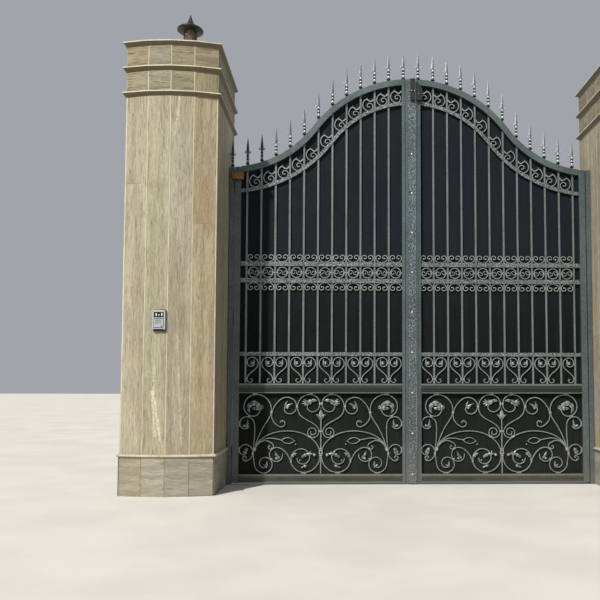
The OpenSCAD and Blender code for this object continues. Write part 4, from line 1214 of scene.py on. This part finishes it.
def make_lamps():
    """A lantern: foot, neck, glass drum in a cage of rings and bars, and a hat with a wide turned brim."""
    for side in SIDES:
        low, high = reach(f"{side}_lamp")
        x, y, z = (low.x + high.x) / 2, (low.y + high.y) / 2, low.z
        hat = (high.x - low.x) / 2
        tall = high.z - low.z
        cage, glass, cap = Shells(), Shells(), Shells()
        lathe(cage, scaled(LAMP_FOOT, hat, 1) + scaled(LAMP_NECK, hat, tall), (x, y, z), 40)
        for rise in CAGE_RINGS_AT:
            lathe(cage, scaled(CAGE_RING, hat, 1, tall * rise), (x, y, z), 40, 0.3)
        for k in range(CAGE_BARS):
            turn = 2 * math.pi * (k + 0.5) / CAGE_BARS
            spot = (x + hat * CAGE_OUT * math.sin(turn), y + hat * CAGE_OUT * math.cos(turn), z)
            lathe(cage, scaled(CAGE_BAR, 1, tall), spot, 10, 0.2)
        lathe(glass, scaled(LAMP_GLASS, hat, tall), (x, y, z), 40)
        lathe(cap, scaled(LAMP_HAT, hat, tall), (x, y, z), 48)
        cage.piece(f"{side}_lamp_cage", "posts", "lamp_metal", "lamp_bronze", 1, [f"{side}_lamp"])
        glass.piece(f"{side}_lamp_glass", "posts", "lamp_metal", "lamp_glass")
        cap.piece(f"{side}_lamp_hat", "posts", "lamp_metal", "lamp_metal", smooth_under=35)


class Panel:
    """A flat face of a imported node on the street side, to lay boxes on: across, up and out of it."""

    def __init__(self, node):
        mesh = NODES[node].data
        front = max(mesh.polygons, key=lambda p: -p.normal.y * p.area)
        self.out = front.normal.copy()
        self.across = Vector((0, 0, 1)).cross(self.out).normalized()
        low, high = reach(node)
        spans = [v.co.dot(self.across) / MM for v in mesh.vertices]
        depth = mesh.vertices[front.vertices[0]].co.dot(self.out) / MM
        self.middle = self.across * (min(spans) + max(spans)) / 2 + self.out * depth
        self.middle.z = (low.z + high.z) / 2
        self.wide = max(spans) - min(spans)
        self.tall = high.z - low.z

    def at(self, across, up, out):
        """The place so far across, up and out from the middle of the face."""
        return tuple(self.middle + self.across * across + Vector((0, 0, up)) + self.out * out)

    def box(self, shells, across, up, w, h, back, front, edge, round_by, mark=0.0):
        """A box with a rounded outline and cut front edges, from depth back to depth front."""
        rings = []
        for depth, cut in ((back, 0), (front - edge, 0), (front, edge)):
            r = max(round_by - cut, 0.05)
            ring = []
            for cx, cz, first in ((1, 1, 90), (1, -1, 0), (-1, -1, -90), (-1, 1, -180)):
                for k in range(5):
                    turn = math.radians(first - 22.5 * k)
                    a = across + cx * (w / 2 - cut - r) + r * math.cos(turn)
                    b = up + cz * (h / 2 - cut - r) + r * math.sin(turn)
                    ring.append(self.at(a, b, depth))
            rings.append(ring[::-1])
        shells.add(*tube(rings), mark)

    def boxes(self, *rows):
        """Shells with a box for each row of what box takes."""
        shells = Shells()
        for row in rows:
            self.box(shells, *row)
        return shells


def make_intercom():
    """A call box: dark back tray, its edge right of and below the case a painted shadow, pale rounded case,
    black window, grille of slots, button and hood.
    """
    face = Panel("intercom")
    w, h = face.wide, face.tall
    deep, rim = 26, w * 0.12
    rim_out = w / 2 - rim / 2 - 1
    # The back tray shows a little to the right of and below the case; its dark edge there is painted shadow.
    tray = face.boxes(
        (3, 0, w - 6, h, -deep, -7, 2, 8),
        (0, h * 0.27, w * 0.72, h * 0.24, -7, 0.1, 0.8, 4),
        (0, -h * 0.43, w * 0.80, h * 0.10, -12, 1.0, 3, 3),
        (1.5, -h * 0.13, w * 0.76, h * 0.46, -7, 0.2, 0.5, 5))
    case = face.boxes(
        (-rim_out - 1, 3, rim, h * 0.90, -9, 2.2, 2.5, 4),
        (rim_out - 1, 3, rim, h * 0.90, -9, 2.2, 2.5, 4),
        (-1, h * 0.43, w - 2, h * 0.09, -9, 2.2, 2.5, 4),
        (-1, -h * 0.375, w - 2, h * 0.06, -9, 2.2, 2.5, 4),
        (-1, h * 0.125, w - 2, h * 0.035, -9, 1.8, 1.5, 2),
        (-2, -h * 0.12, w * 0.68, h * 0.40, -7, 1.6, 1.2, 3))
    heights = [h * (0.045 - 0.026 * k) for k in range(9)]
    slots = face.boxes(*[(-4, up, w * 0.46, 1.6, 0.5, 1.9, 0.1, 0.7, -0.5) for up in heights])
    lathe(slots, [(6, 0), (6, 2.2), (4.6, 3.0)], face.at(w * 0.20, -h * 0.265, 0.6), 16, toward_street=True)
    lights = face.boxes(
        (w * -0.20, h * 0.27, w * 0.08, h * 0.13, -1, 1.0, 0.5, 2),
        (w * 0.22, h * 0.27, w * 0.08, h * 0.13, -1, 1.0, 0.5, 2),
        (0, h * 0.245, w * 0.09, h * 0.06, -1, 0.7, 0.5, 2, -0.4))
    tray.piece("intercom_tray", "posts", "intercom_metal", "black_plastic", 1, ["intercom"])
    case.piece("intercom_case", "posts", "intercom_metal", "intercom_metal")
    slots.piece("intercom_slots", "posts", "intercom_metal", "black_plastic")
    lights.piece("intercom_lights", "posts", "intercom_metal", "pale_plastic")


def make_amber_box():
    """A warning light box on the left hinge stile: dark tray and foot, ribbed amber lens."""
    low, high = reach("amber_box")
    face = Panel("amber_box")
    w, h = face.wide, face.tall
    deep = high.y - low.y
    tray = face.boxes((0, 0, w, h, 8 - deep, -26, 2.5, 8), (0, 0, 40, 38, -deep, 9 - deep, 0.5, 4))
    ribs = [(0, (k - 3) * (h - 20) / 7, w - 22, 3.2, -5, -1.5, 1.2, 1.4, 0.2) for k in range(7)]
    lens = face.boxes((0, 0, w - 8, h - 8, -28, -4, 6, 9), *ribs)
    tray.piece("amber_tray", "left_leaf", "latch_iron", "latch_iron", 1, ["amber_box"])
    lens.piece("amber_lens", "left_leaf", "amber_plastic", "amber_plastic")


make_lamps()
make_intercom()
make_amber_box()


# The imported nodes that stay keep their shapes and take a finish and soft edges

# Finishes of nodes, named without their side, that don't wear the material of their slot
FINISH_OF = {"shaft": "cream_stone", "crown": "cream_stone", "cap": "cream_stone",
             "base_ledge": "cream_stone", "plinth": "joint_stone", "bottom_rail": "rail_iron",
             "middle_rail": "rail_iron", "cover_strip": "strip_iron"}
# Widths of the soft edges in millimetres
SOFT_EDGES = {"hinge_stile": 1.5, "meeting_stile": 1.5, "bottom_rail": 1.5, "middle_rail": 1.5, "bars": 1.2,
              "flat_rails": 1.2, "hinge_post": 2, "crown": 2, "cap": 2, "cover_strip": 2, "latch_box": 3,
              "latch_keeper": 3}


def finish_nodes():
    slots = {row["node"]: row["material_slot"] for row in frame["record"]["subparts"]}
    for name, obj in NODES.items():
        kind = name.removeprefix("left_").removeprefix("right_")
        obj.data.materials.clear()
        obj.data.materials.append(MATERIALS[FINISH_OF.get(kind, slots[name])])
        if kind in SOFT_EDGES:
            bevel(obj, SOFT_EDGES[kind] * MM)


finish_nodes()


# Floor, light and camera

FLOOR_HALF = 60.0
SKY_SEEN = (0.86, 0.88, 0.91)
SKY_STRENGTH = 0.50
SUN_COLOR = (1.0, 0.97, 0.91)
SUN_STRENGTH = 4.2
SUN_ANGLE = math.radians(2)
SUN_HEADING = Vector((0.53, 0.86, -0.95))
# Camera fitted to the photograph: its focal length and principal point are in pixels of the photograph
PHOTO_SIDE = 600
FOCAL = 660.19
PRINCIPAL = (357.56, 349.46)
CAMERA_AT = Vector((-0.7015, -6.2562, 0.9639))
YAW, PITCH_UP, ROLL = 0.0270, 0.0529, 0.0017
FAR_CLIP = 200.0


def make_floor():
    mesh = bpy.data.meshes.new("floor")
    corners = [(x * FLOOR_HALF, y * FLOOR_HALF, 0) for x, y in ((-1, -1), (1, -1), (1, 1), (-1, 1))]
    mesh.from_pydata(corners, [], [(0, 1, 2, 3)])
    mesh.materials.append(MATERIALS["floor_paint"])
    put("floor", mesh)


def make_light():
    world = bpy.data.worlds.new("studio")
    bpy.context.scene.world = world
    world.use_nodes = True
    sky = world.node_tree.nodes["Background"].inputs
    sky["Color"].default_value = tone(SKY_SEEN)
    sky["Strength"].default_value = SKY_STRENGTH
    sun = bpy.data.lights.new("key", "SUN")
    sun.energy = SUN_STRENGTH
    sun.angle = SUN_ANGLE
    sun.color = SUN_COLOR
    key = put("key", sun)
    key.rotation_mode = "QUATERNION"
    key.rotation_quaternion = SUN_HEADING.to_track_quat("-Z", "Y")


def make_camera():
    data = bpy.data.cameras.new("camera")
    data.sensor_width = 36.0
    data.lens = FOCAL / PHOTO_SIDE * data.sensor_width
    data.shift_x = (PHOTO_SIDE / 2 - PRINCIPAL[0]) / PHOTO_SIDE
    data.shift_y = (PRINCIPAL[1] - PHOTO_SIDE / 2) / PHOTO_SIDE
    data.clip_end = FAR_CLIP
    camera = put("camera", data)
    turn = (Matrix.Rotation(-YAW, 4, "Z") @ Matrix.Rotation(math.pi / 2 + PITCH_UP, 4, "X")
            @ Matrix.Rotation(ROLL, 4, "Z"))
    camera.matrix_world = Matrix.Translation(CAMERA_AT) @ turn
    bpy.context.scene.camera = camera


bpy.context.scene.view_settings.view_transform = "Standard"
make_floor()
make_light()
make_camera()

bpy.context.view_layer.update()
